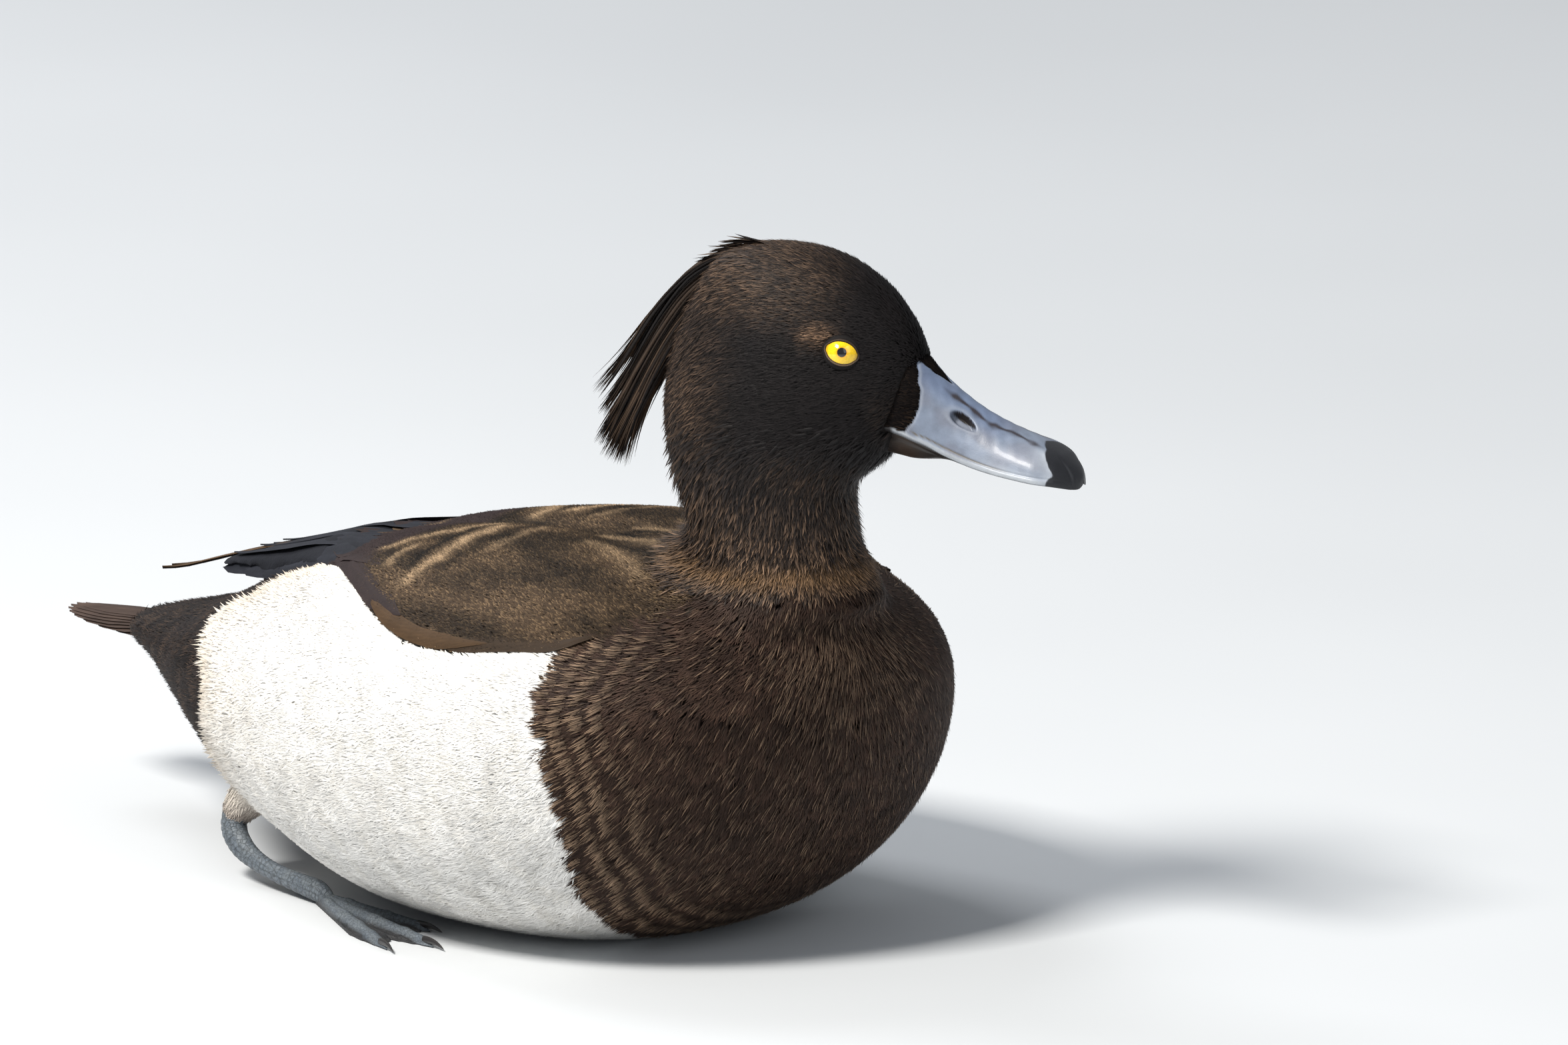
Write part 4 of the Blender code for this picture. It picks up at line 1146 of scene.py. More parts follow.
def dark_coat():
    breast = lambda p: regions(p)["breast"] & (p[:, 2] > 1.5)
    coat = Coat("breast_tufts")
    p, n = sample(1.10, breast, seed=41)
    draw = np.random.RandomState(42)
    chance = draw.rand(len(p))
    rim, number = scallops(p, n, 5.0, 45)
    tint = base_colour(p, chance * 0.8) * (0.85 + 0.4 * number)[:, None] * (1 + 0.55 * rim)[:, None]
    blades(coat, p, n, 4.6, 0.46, tint * 0.9, tint * 1.22, prongs=4, fan=12, lift=0.26, sink=1.2, jitter=7,
           curl=0.4, soft=0.74, seed=43)
    finish_piece(coat.write(dark_mat), "trunk_feathers")
    # pale shafts: in rows by the white flank, loose over the rest of the breast
    coat = Coat("breast_lines")
    p, n = sample(3.1, breast, seed=46)
    draw = np.random.RandomState(47)
    front = p[:, 0] - np.interp(p[:, 2], FRONT_EDGE[:, 0], FRONT_EDGE[:, 1])
    rows = smooth(24, 6, front) * smooth(84, 78, p[:, 2])
    wave = np.cos((front + 1.3 * ripple(p, 7.0, 31) + 0.5 * ripple(p, 2.0, 33)) * 2 * math.pi / 4.4)
    x, z = p[:, 0], p[:, 2]
    # The front of the breast gets more of the pale lines, as part of its painted sheen
    front_sheen = np.exp(-(((x - 106) / 10.0) ** 2 + ((np.abs(p[:, 1]) - 8) / 15.0) ** 2 + ((z - 70) / 13.0) ** 2))
    low = smooth(70, 46, z) * smooth(66, 76, x)
    want = np.maximum.reduce([rows * smooth(0.25, 0.9, wave), front_sheen * 0.55, low * 0.11, 0.05 + 0 * x])
    keep = draw.rand(len(p)) < want
    p, n, rows, want = p[keep], n[keep], rows[keep], want[keep]
    chance = draw.rand(len(p))
    tint = mix(PLUM * 1.3, np.array((0.240, 0.162, 0.106)), (0.18 + 0.5 * rows * want + 0.35 * chance ** 2)) * (0.5 + 0.5 * chance)[:, None]
    blades(coat, p, n, 2.4 + 1.6 * chance, 0.28, tint * 0.6, tint * 1.5, prongs=1, lift=0.42, sink=-0.20, jitter=5, curl=0.3,
           soft=0.70, seed=48)
    finish_piece(coat.write(dark_mat), "trunk_feathers")
    rump = lambda p: (regions(p)["rump"] & (p[:, 2] > 1.5) & on_trunk(p)
                      & ((p[:, 0] < -112) | (p[:, 2] < 55) | (np.abs(p[:, 1]) > wing_outer(p[:, 0]) + 1.5)))
    coat = Coat("rump_tufts")
    p, n = sample(0.95, rump, seed=51)
    draw = np.random.RandomState(52)
    chance = draw.rand(len(p))
    rim, number = scallops(p, n, 6.5, 55)
    tint = base_colour(p, chance) * (0.6 + 0.6 * number)[:, None]
    # A painted sheen on some of the rump feathers' rounded tips
    tip = mix(tint, SHEEN * 0.8, rim * 0.55 * chance)
    blades(coat, p, n, 6.5 - 1.5 * smooth(-96, -110, p[:, 0]), 0.55, tint * 0.9, tip * 1.2, prongs=3, fan=10,
           lift=0.22 + 0.28 * smooth(56, 44, p[:, 2]), sink=1.3, jitter=8, curl=0.5, soft=0.74, seed=53)
    finish_piece(coat.write(dark_mat), "trunk_feathers")


def back_coat():
    inside = lambda p: regions(p)["back"]
    coat = Coat("scapular_vanes")
    p, n = sample(0.4, inside, seed=61)
    p, n = spread(p, n, 3.2, 5)
    tip = p + flow(p, n) * 11.5
    keep = (np.abs(tip[:, 1]) < wing_outer(tip[:, 0]) - 3.6) & (np.abs(p[:, 1]) < wing_outer(p[:, 0]) - 3.2) | (p[:, 0] > 72)
    p, n = p[keep], n[keep]
    draw = np.random.RandomState(62)
    tint = base_colour(p, 0.60 + 0 * p[:, 0])
    vanes(coat, p, n, 11.0, 7.0, tint * 0.8, tint * 0.9, lift=-0.35, sink=1.0, jitter=6, soft=0.7, rows=4, cols=5, seed=63, fray=0.3)
    finish_piece(coat.write(back_mat), "wing_feathers")
    for part, side in ((1, -1), (2, 1)):
        coat = Coat(f"scapular_barbs_{part}")
        p, n = sample(6.4, lambda q: inside(q) & (q[:, 1] * side >= 0), seed=70 + part)
        draw = np.random.RandomState(72 + part)
        chance = draw.rand(len(p))
        clump = 0.5 + 0.5 * ripple(p, 0.55, 60)
        chance = np.clip(0.72 * chance + 0.28 * clump, 0, 1)
        dull = base_colour(p, 0 * chance)
        lit = base_colour(p, chance)
        blades(coat, p, n, 1.15, 0.44, mix(dull, lit, 0.45), lit * 1.15, prongs=1, lift=0.22, sink=0.40, jitter=22,
               soft=0.74, seed=73 + part)
        finish_piece(coat.write(back_mat), "wing_feathers")


def neck_coat():
    inside = lambda p: (p[:, 2] > 87) & (p[:, 2] < 130) & (regions(p)["neck"] | regions(p)["head"]) & ~inside_bill(p)
    coat = Coat("neck_tufts")
    p, n = sample(2.5, inside, seed=81)
    draw = np.random.RandomState(82)
    keep = draw.rand(len(p)) < smooth(130, 116, p[:, 2])
    p, n = p[keep], n[keep]
    chance = draw.rand(len(p))
    tint = base_colour(p, chance)
    length = mix(2.8, 4.4, smooth(121, 104, p[:, 2]))
    blades(coat, p, n, length, 0.42, tint * 0.6, tint * 1.3, prongs=3, fan=9, lift=0.55, sink=0.9, jitter=10, curl=0.6,
           soft=0.58, seed=83, chart=head_chart)
    finish_piece(coat.write(neck_mat), "neck_feathers")
    coat = Coat("neck_strands")
    p, n = sample(1.6, inside, seed=84)
    draw = np.random.RandomState(85)
    hx, hy, hz = bird_to_head(p)
    keep = draw.rand(len(p)) < smooth(131, 118, p[:, 2]) * (0.65 + 0.35 * smooth(4, -16, hx))
    p, n, hx = p[keep], n[keep], hx[keep]
    chance = draw.rand(len(p)) ** 1.5
    tint = base_colour(p, chance)
    shaggy = smooth(2, -18, hx)
    # The strands' tips take a painted sheen
    blades(coat, p, n, 5.2 + 1.6 * shaggy, 0.80, tint * 0.55, mix(tint, SHEEN * 1.6, 0.35 * chance * smooth(124, 110, p[:, 2])) * 1.35, prongs=1,
           lift=(0.80 + 0.5 * shaggy) * smooth(86, 100, p[:, 2]) + 0.15, sink=0.6, jitter=9, curl=0.8, soft=0.55, seed=86, chart=head_chart)
    finish_piece(coat.write(neck_mat), "neck_feathers")


def head_coat():
    inside = lambda p: (p[:, 2] > 112) & ~inside_bill(p, 0.9) & (eye_distance(p) > 0.35)
    for part, (test, word) in enumerate(((lambda p: p[:, 2] <= 143, "face"), (lambda p: p[:, 2] > 143, "crown"))):
        coat = Coat(f"{word}_tufts")
        p, n = sample(7.6, lambda q: inside(q) & test(q), seed=91 + part)
        draw = np.random.RandomState(95 + part)
        keep = draw.rand(len(p)) < smooth(110, 122, p[:, 2])
        p, n = p[keep], n[keep]
        chance = draw.rand(len(p))
        clump = 0.5 + 0.5 * ripple(p, 0.6, 61)
        chance = np.clip(0.65 * chance + 0.35 * clump, 0, 1)
        tint = base_colour(p, chance)
        near = bill_nearness(p)
        hx, hy, hz = bird_to_head(p)
        length = 2.6 - 1.3 * near + 1.6 * smooth(0, -22, hx)
        gap = eye_distance(p)
        length = np.minimum(length, np.maximum(0.5, gap * 0.9 + 0.35))
        blades(coat, p, n, length, 0.33, tint * 0.75, tint * 1.3, prongs=1, lift=0.12 + 0.30 * smooth(-5, -24, hx), sink=0.5,
               jitter=7, curl=0.4, soft=0.70, seed=97 + part, chart=head_chart)
        # a sparser, longer layer whose lit tips make the fine streaks
        p, n = sample(2.2, lambda q: inside(q) & test(q) & (eye_distance(q) > 2.5) & (bill_nearness(q) < 0.5), seed=191 + part)
        chance = draw.rand(len(p))
        tint = base_colour(p, chance)
        hx, hy, hz = bird_to_head(p)
        back = smooth(24, -18, hx)
        blades(coat, p, n, 2.6 + 2.0 * back, 0.50, tint * 0.5, base_colour(p, 0.4 + 0.6 * chance) * (0.9 + 0.9 * chance)[:, None], prongs=1,
               lift=0.28 + 0.40 * smooth(0, -24, hx), sink=0.35, jitter=8, curl=0.5, soft=0.66, seed=197 + part, chart=head_chart)
        finish_piece(coat.write(head_mat), "head_feathers")


white_coat()
dark_coat()
back_coat()
neck_coat()
head_coat()

# ================================================================ wing, scapular and tail feathers
def quill(coat, side, root, tip, half, raise_=(0.3, 0.9), bow=0.0, centre=(0.03, 0.02, 0.02), rim=None, end=None,
          pointed=0.35, blunt=0.5, ks=20, cols=9, thick=0.16, seed=0, rim_width=0.30, path=None, dip=0.012, shaft=1.25, rim_from=(0.1, 0.4), along=None):
    """One large feather, a thin solid, laid over the back from root to tip (x, distance from the middle)."""
    draw = np.random.RandomState(1000 + seed)
    t = np.linspace(0, 1, ks)
    if path is None:
        x = root[0] + (tip[0] - root[0]) * t
        y = root[1] + (tip[1] - root[1]) * t + bow * np.sin(math.pi * t)
        z = np.array([surface_height(a, side * max(b, 1.2)) for a, b in zip(x, y)])
        if along is not None:
            free = smooth(-40, -54, x)
            z = z * (1 - free) + along(x, y) * free
        z = np.convolve(np.pad(z, 2, mode="edge"), np.ones(5) / 5, "valid")
        z = z + raise_[0] + (raise_[1] - raise_[0]) * smooth(0.0, 0.6, t)
        spine = np.stack([x, side * y, z], 1)
        up = []
        for q in spine:
            hit = outer.find_nearest(Vector(q))
            flat = hit[1].z <= 0.3 or (along is not None and q[0] < -46)
            up.append(np.array((0.1, side * 0.12, 1.0)) if flat else np.array(hit[1]))
        up = unit(np.array(up))
        up = unit(up + (0, 0, 0.6))
    else:
        spine, up = path
    ahead = unit(np.gradient(spine, axis=0))
    across = unit(np.cross(up, ahead))
    up = unit(np.cross(ahead, across))
    w = half * np.minimum(1.0, (t + 0.02) / 0.3) * np.minimum(1.0, np.maximum(1 - t, 0) / pointed) ** blunt
    sgn = np.linspace(-1, 1, cols)
    notch = 1 + 0.05 * (draw.rand(ks, 1) - 0.5) * (np.abs(sgn)[None] > 0.9)
    span = w[:, None] * sgn[None] * notch
    ridge = np.exp(-(sgn / 0.10) ** 2) * 0.16
    top = spine[:, None] + across[:, None] * span[..., None] + up[:, None] * (ridge[None] - dip * span ** 2)[..., None]
    under = top - up[:, None] * (thick * (0.25 + 0.75 * (1 - np.abs(sgn) ** 3)))[None, :, None]
    edge = smooth(1 - rim_width, 1.0, np.abs(sgn))[None] * np.ones((ks, 1))
    if rim is None:
        rim = np.array(centre) * 1.4
    end = rim if end is None else end
    far = smooth(0.80, 0.97, t)[:, None] * np.ones((1, cols))
    colour = mix(np.broadcast_to(np.array(centre, float), (ks, cols, 3)), np.array(rim, float), edge * smooth(*rim_from, t)[:, None])
    colour = mix(colour, np.array(end, float), far * 0.9)
    stripe = 1 + 0.10 * np.sin((t[:, None] * abs(half) * 30 - np.abs(sgn)[None] * 8) * 1.7 + draw.rand() * 6)
    colour = colour * stripe[..., None] * (1 + (shaft - 1) * np.exp(-(sgn / 0.07) ** 2))[None, :, None]
    grid_n = unit(up[:, None] + across[:, None] * (sgn * 0.25)[None, :, None])
    def faces(flip, offset):
        out = []
        for k in range(ks - 1):
            for j in range(cols - 1):
                a = offset + k * cols + j
                b, c, d = a + 1, a + cols + 1, a + cols
                out += [(a, b, c), (a, c, d)] if flip else [(a, c, b), (a, d, c)]
        return out
    count = ks * cols
    f = faces(False, 0) + faces(True, count)
    for k in range(ks - 1):
        for j, turn in ((0, 1), (cols - 1, -1)):
            a, b = k * cols + j, (k + 1) * cols + j
            c, d = b + count, a + count
            f += [(a, b, c), (a, c, d)][::1] if turn < 0 else [(a, c, b), (a, d, c)]
    for k, turn in ((0, 1), (ks - 1, -1)):
        for j in range(cols - 1):
            a, b = k * cols + j, k * cols + j + 1
            c, d = b + count, a + count
            f += [(a, b, c), (a, c, d)] if turn > 0 else [(a, c, b), (a, d, c)]
    v = np.concatenate([top.reshape(-1, 3), under.reshape(-1, 3)])
    n = np.concatenate([grid_n.reshape(-1, 3), -grid_n.reshape(-1, 3)])
    tt = np.tile(np.repeat(t, cols), 2) * 0.55 + 0.3
    uv0 = trunk_chart(spine[:1])
    size = 0.012
    uu = np.stack([np.repeat(t - 0.5, cols) * size, np.tile(sgn * 0.5, ks) * size], 1)
    coat.add(v, n, np.array(f), np.tile(colour.reshape(-1, 3), (2, 1)), tt, np.full(len(v), draw.rand()),
             np.tile(uv0 + uu, (2, 1)))


PRIMARY_EDGE = np.array((0.150, 0.092, 0.050))
OLIVE = np.array((0.084, 0.048, 0.023))
TAN = np.array((0.360, 0.250, 0.150))


def hem(coat, side, x0, x1, half, tone, seed, out=0.8, high=0.35, ks=30):
    """A feather that lies along the wing's lower edge and covers the line where it meets the flank."""
    x = np.linspace(x0, x1, ks)
    y = wing_outer(x) + out - half
    inner = np.array([surface_height(a, side * (b - half * 0.9)) for a, b in zip(x, y)])
    rim = np.array([surface_height(a, side * (b + half)) for a, b in zip(x, y)])
    middle = np.array([surface_height(a, side * b) for a, b in zip(x, y)])
    ease = lambda v: np.convolve(np.pad(v, 3, mode="edge"), np.ones(7) / 7, "valid")
    inner, rim, middle = ease(inner), ease(rim), ease(middle)
    spine = np.stack([x, side * y, np.maximum(middle, (inner + rim) / 2) + high], 1)
    slope = (rim - inner) / (1.9 * half)
    up = unit(np.stack([0 * x, -side * slope, 1 + 0 * x], 1))
    quill(coat, side, None, None, half, centre=tone, rim=tone * 1.15, end=tone * 1.1, pointed=0.26, blunt=0.5, seed=seed, ks=ks,
          path=(spine, up), dip=0.05, shaft=1.1)


def folded(x, y):
    """Height of the closed wing's upper face over its free end."""
    return wing_top(x, y) + 1.6 * smooth(-122, -100, x)


def wing_feathers(side, word):
    coat = Coat("wing_feathers_" + word)
    k = 0 if side < 0 else 40
    # lower primaries, lying against the rump
    for i, (root, tip, half, h0, h1) in enumerate((
        ((-30, 24.5), (-66, 15.8), 4.2, 80.5, 69.0), ((-30, 22.0), (-74, 13.6), 4.6, 81.0, 66.4), ((-30, 19.0), (-83, 10.8), 4.8, 81.4, 65.0),
        ((-30, 16.0), (-93, 7.4), 4.8, 81.8, 63.6),
    )):
        t = np.linspace(0, 1, 20)
        x, y = root[0] + (tip[0] - root[0]) * t, root[1] + (tip[1] - root[1]) * t
        z = np.maximum(h0 + (h1 - h0) * t ** 1.1, top_of_trunk(x, y) + 0.4 + 0.15 * i)
        spine = np.stack([x, side * y, z], 1)
        up = unit(np.tile(np.array((0.10, side * 0.85, 1.0)), (20, 1)))
        quill(coat, side, None, None, half, centre=SLATE * (0.9 + 0.05 * i), rim=SLATE * 1.15,
              end=SLATE * 0.85, pointed=0.30, blunt=0.5, seed=k + 60 + i, rim_width=0.14, path=(spine, up), dip=0.022)
    for i, (root, tip, half, colour, rim) in enumerate((
        ((-26, 14.5), (-90, 6.6), 4.8, SLATE * 0.95, SLATE * 1.15),
        ((-26, 8.0), (-119.5, 1.6), 1.5, PRIMARY_EDGE * 0.42, PRIMARY_EDGE * 0.75),
        ((-22, 7.0), (-84, 3.8), 4.2, SLATE * 1.0, SLATE * 1.15),
    )):
        quill(coat, side, root, tip, half, raise_=(-0.6, 0.04 + 0.05 * i), centre=colour, rim=rim, end=colour * 0.85,
              pointed=0.42, blunt=0.6, seed=k + i, rim_width=0.22, along=folded, thick=0.6 if half < 2 else 0.2)
    for i, (root, tip, half) in enumerate((
        ((16, 42.0), (-37, 21.5), 6.3), ((14, 33.0), (-45, 15.6), 6.6), ((12, 23.0), (-48, 10.2), 6.4), ((8, 12.0), (-48, 4.9), 5.4),
    )):
        quill(coat, side, root, tip, half, raise_=(-1.2, -0.22 + 0.05 * i if i < 2 else -0.34), centre=TERTIAL * (0.95 + 0.08 * (i % 2)),
              rim=TERTIAL * 1.15, end=TERTIAL * 1.08, pointed=0.18, blunt=0.45, seed=k + 10 + i, bow=1.0, dip=0.020)
    # feathers along the wing's lower edge
    hem(coat, side, 0, -39, 4.6, TERTIAL * 0.95, k + 20, out=0.7, high=0.05)
    hem(coat, side, 17, -24, 3.4, TERTIAL * 1.1, k + 21, out=1.0, high=0.25)
    hem(coat, side, 75, 30, 2.1, BACK_DARK * 1.4, k + 24, out=1.3, high=0.15)
    hem(coat, side, 48, 2, 2.2, OLIVE * 0.66, k + 22, out=1.4, high=0.45)
    return finish_piece(coat.write(wing_mat), "wing_feathers", "wing_right" if side < 0 else "wing_left")


def tail_feathers():
    coat = Coat("tail_feathers")
    order = sorted(range(14), key=lambda i: -abs(i - 6.5))
    for place, i in enumerate(order):
        a = -1 + 2 * i / 13
        angle = math.radians(12.5 * a)
        reach = 59.5 * (1 - 0.36 * a * a)
        r = np.linspace(12.0, reach, 18)
        x, y = -92.0 - r * math.cos(angle), r * math.sin(angle)
        high = np.linspace(47.4, 43.8, 18) - 0.0045 * y * y + 0.06 * place - 0.5
        spine = np.stack([x, y, high], 1)
        up = np.tile(np.array((0.05, 0.20 * a, 1.0)), (18, 1))
        tone = np.array((0.052, 0.035, 0.028)) * (1 + 0.05 * ((i * 7) % 3 - 1))
        quill(coat, 1, None, None, 4.9, centre=tone, rim=tone * 1.1, end=tone * 1.35, pointed=0.34, blunt=0.6, ks=18, seed=80 + i,
              path=(spine, up), rim_width=0.2, thick=0.35, dip=0.006)
    return finish_piece(coat.write(wing_mat), "tail_feathers", "tail")


wing_mat = feather_material("wing_plumage", rough=(0.56, 0.72), specular=0.12, tip=1.1, root=0.9, grain=1500.0, grain_depth=0.00008)
wing_feathers(-1, "right")
wing_feathers(1, "left")
tail_feathers()

# ================================================================ bill
def solid_grid(name, grid, tint_fn, mat, slot, *replaced):
    """A closed tube of rings with a colour for each vertex."""
    obj = grid_object(name, grid)
    mesh = obj.data
    v, n, f = mesh_arrays(mesh)
    tint = mesh.attributes.new("tint", "FLOAT_COLOR", "POINT")
    c = tint_fn(v)
    tint.data.foreach_set("color", np.concatenate([c, np.ones((len(c), 1))], 1).astype(np.float32).ravel())
    mesh.materials.append(mat)
    return finish_piece(obj, slot, *replaced)


def bird_to_plan(v):
    c, s = math.cos(HEAD_YAW), math.sin(HEAD_YAW)
    dx, dy = v[..., 0] - NECK_X, v[..., 1]
    return dx * c + dy * s, -dx * s + dy * c, v[..., 2]


NOSTRIL = (47.6, 130.9)
NOSTRIL_SLOPE = math.radians(31.0)


def nostril_reach(x, z):
    dx, dz = x - NOSTRIL[0], z - NOSTRIL[1]
    a = dx * math.cos(NOSTRIL_SLOPE) - dz * math.sin(NOSTRIL_SLOPE)
    b = dx * math.sin(NOSTRIL_SLOPE) + dz * math.cos(NOSTRIL_SLOPE)
    return np.sqrt((a / 3.4) ** 2 + (b / (1.12 - 0.07 * a)) ** 2)


def bill_section(x):
    return spline(BILL, np.interp(x, _BX, _T))


def feather_edge(y, z):
    """How far forward, in the head's plan, the feathers reach over the bill's base."""
    side = np.interp(z, (117, 124, 126.5, 128.5, 132, 135.8, 138.3, 141.5, 143.8, 147), (28.9, 29.8, 31.8, 34.8, 37.1, 37.8, 37.3, 36.3, 35.6, 34.8))
    wedge = 42.6 - 1.9 * np.abs(y) ** 1.15
    return np.where(z > 135.5, np.maximum(side, wedge), side) + 0.14 * np.sin(z * 1.7)


def upper_bill_grid(rings=230, sides=150):
    x0 = 74.8 - (74.8 - 27.0) * (1 - np.linspace(0, 1, rings)) ** 1.35
    s = bill_section(x0)
    top, bottom, half, n = s[:, 1], s[:, 2], s[:, 3], s[:, 4]
    a = np.linspace(0, math.pi, sides)[None]
    y = half[:, None] * power(np.cos(a), 2 / n[:, None])
    z = bottom[:, None] + (top - bottom)[:, None] * power(np.sin(a), 2 / n[:, None])
    x = np.repeat(x0[:, None], sides, 1)
    p = np.stack([x, y, z], -1)
    du, dv = np.gradient(p, axis=0), np.gradient(p, axis=1)
    normal = unit(np.cross(dv, du))
    flip = np.sign((normal * np.stack([x * 0, y, z - bottom[:, None]], -1)).sum(-1, keepdims=True))
    normal = normal * np.where(flip == 0, 1, flip)
    rise = z - bottom[:, None]
    move = np.zeros_like(x)
    r = nostril_reach(x, z)
    side_on = np.abs(y) > 2.0
    move -= 2.2 * smooth(1.12, 0.72, r) * side_on
    move += 0.07 * np.exp(-((r - 1.30) / 0.24) ** 2) * side_on
    move += np.clip((feather_edge(y, z) - x) * 0.06, 0, 0.25)
    lip = 1.75 + 0.25 * np.sin((x - 30) / 7)
    fade = smooth(73, 66, x) * smooth(30, 34, x)
    move -= 0.30 * np.exp(-((rise - lip) / 0.22) ** 2) * fade
    move += 0.28 * np.exp(-((rise - lip * 0.45) / 0.75) ** 2) * fade
    # the nail, and the shallow dip behind it
    nail = smooth(69.4, 71.2, x) * smooth(4.6, 3.4, np.abs(y) + 0.5 * np.maximum(0, 71.5 - x) ** 1.2)
    move += 0.22 * nail
    move -= 0.07 * np.exp(-((np.abs(y) - 4.3) / 0.4) ** 2) * smooth(69.5, 71.0, x)
    # low ridges that run from the culmen towards the rim of the tip
    move += 0.035 * np.sin(x * 1.9 + 0.8 * y) * smooth(4, 8, rise) * smooth(66, 60, x) * (r > 1.5)
    p = p + normal * move[..., None]
    inner = []
    for share in (0.86, 0.5, 0.0, -0.5, -0.86):
        inner.append(np.stack([x0, -half * share, bottom + 0.9 * (1 - abs(share))], -1))
    floor_ = np.stack(inner, 1)
    ring = np.concatenate([p, floor_], 1)
    return head_to_bird(ring[..., 0], ring[..., 1], ring[..., 2])


HORN = np.array((0.150, 0.180, 0.238))
PALE = np.array((0.44, 0.475, 0.53))
INK = np.array((0.0095, 0.0100, 0.0135))


def upper_bill_colour(v):
    x, y, z = bird_to_plan(v)
    s = bill_section(x)
    top, bottom, half = s[:, 1], s[:, 2], s[:, 3]
    rise = z - bottom
    share = rise / np.maximum(top - bottom, 1)
    blotch = ripple(np.stack([x, y, z], -1), 2.6, 4)
    fine = ripple(np.stack([x, y, z], -1), 0.9, 9)
    c = HORN * (1 + 0.20 * blotch + 0.08 * fine)[:, None]
    c = mix(c, HORN * np.array((1.10, 0.98, 0.95)) * 0.95, smooth(0.3, -0.4, blotch) * 0.5)
    c = mix(c, HORN * np.array((0.72, 0.86, 1.12)), smooth(0.62, 0.95, share) * smooth(62, 52, x) * 0.55)
    edge = 65.6 + 0.36 * np.abs(y) + 1.6 * np.exp(-((share - 0.45) / 0.2) ** 2) * smooth(2, 4, np.abs(y)) + 0.2 * ripple(v, 0.9, 3)
    pale = np.exp(-np.maximum(0, edge - x) / 2.6) * 0.85 * smooth(0.98, 0.85, share)
    low = smooth(0.42, 0.08, share) * smooth(46, 60, x) * 0.7
    c = mix(c, PALE, np.clip(np.maximum(pale, low), 0, 1))
    r = nostril_reach(x, z)
    c = mix(c, PALE * 0.75, np.exp(-((r - 1.35) / 0.22) ** 2) * 0.25 * (np.abs(y) > 2))
    lip = 1.75 + 0.25 * np.sin((x - 30) / 7)
    fade = smooth(72, 66, x)
    rim_pale = smooth(lip * 0.72 + 0.1, lip * 0.72 - 0.3, rise)
    c = mix(c, np.array((0.36, 0.385, 0.41)), rim_pale * fade * 0.75)
    c = mix(c, np.array((0.10, 0.075, 0.035)), np.exp(-((rise - lip) / 0.20) ** 2) * fade * smooth(64, 50, x) * 0.85)
    c = mix(c, np.array((0.03, 0.025, 0.02)), smooth(0.3, 0.0, rise) * smooth(75, 70, x) * 0.5)
    # the dark line beside the ridge
    along = smooth(41, 45, x) * smooth(67.5, 64, x)
    line = np.exp(-((np.abs(y) - (3.1 + 0.4 * np.sin(x * 0.5) + 0.03 * (x - 45))) / (0.62 + 0.25 * np.sin(x * 1.3))) ** 2)
    c = mix(c, np.array((0.028, 0.024, 0.030)), np.clip(line * along * (1.0 + 0.5 * fine), 0, 1))
    reach = feather_edge(y, z) - x
    c = mix(c, PALE * 0.9, np.exp(-((reach + 0.35) / 0.25) ** 2) * 0.35)
    # Inside the nostril: painted shade in its hollow
    c = mix(c, np.array((0.010, 0.006, 0.004)), smooth(1.06, 0.90, r) * (np.abs(y) > 2.0))
    dark = smooth(-0.22, 0.22, x - edge)
    c = mix(c, INK, dark)
    c = mix(c, BLACK, smooth(-0.05, 0.12, reach) * np.maximum(1 - rim_pale * 0.95, smooth(32.0, 30.5, x)))
    return np.clip(c, 0.004, 0.9)


def horn_material(name, rough, gloss, depth):
    m, nodes, links, shader = material(name)
    tint = attribute(nodes, "tint", "Color")
    where = object_coordinates(nodes, links)
    stretched = object_coordinates(nodes, links, (1, 1, 2.5))
    cloud = noise(nodes, links, 420.0, 4.0, 0.6, where)
    fine = noise(nodes, links, 2400.0, 3.0, 0.6, stretched)
    vary = ramp(nodes, links, cloud, ((0.28, (0.88,) * 3), (0.72, (1.10,) * 3)))
    links.new(mix_colour(nodes, links, 1.0, tint, vary, "MULTIPLY"), shader.inputs["Base Color"])
    span = nodes.new("ShaderNodeMapRange")
    links.new(cloud, span.inputs["Value"])
    span.inputs["To Min"].default_value, span.inputs["To Max"].default_value = rough
    links.new(span.outputs[0], shader.inputs["Roughness"])
    both = maths(nodes, links, "ADD", maths(nodes, links, "MULTIPLY", cloud, 2.0), fine)
    links.new(bump(nodes, links, both, 0.6, depth), shader.inputs["Normal"])
    shader.inputs["Specular IOR Level"].default_value = 0.5
    shader.inputs["Coat Weight"].default_value = gloss
    shader.inputs["Coat Roughness"].default_value = 0.14
    return m


horn_mat = horn_material("bill_horn", (0.36, 0.52), 0.10, 0.00006)
solid_grid("bill_upper_horn", upper_bill_grid(), upper_bill_colour, horn_mat, "bill_horn", "bill_upper")


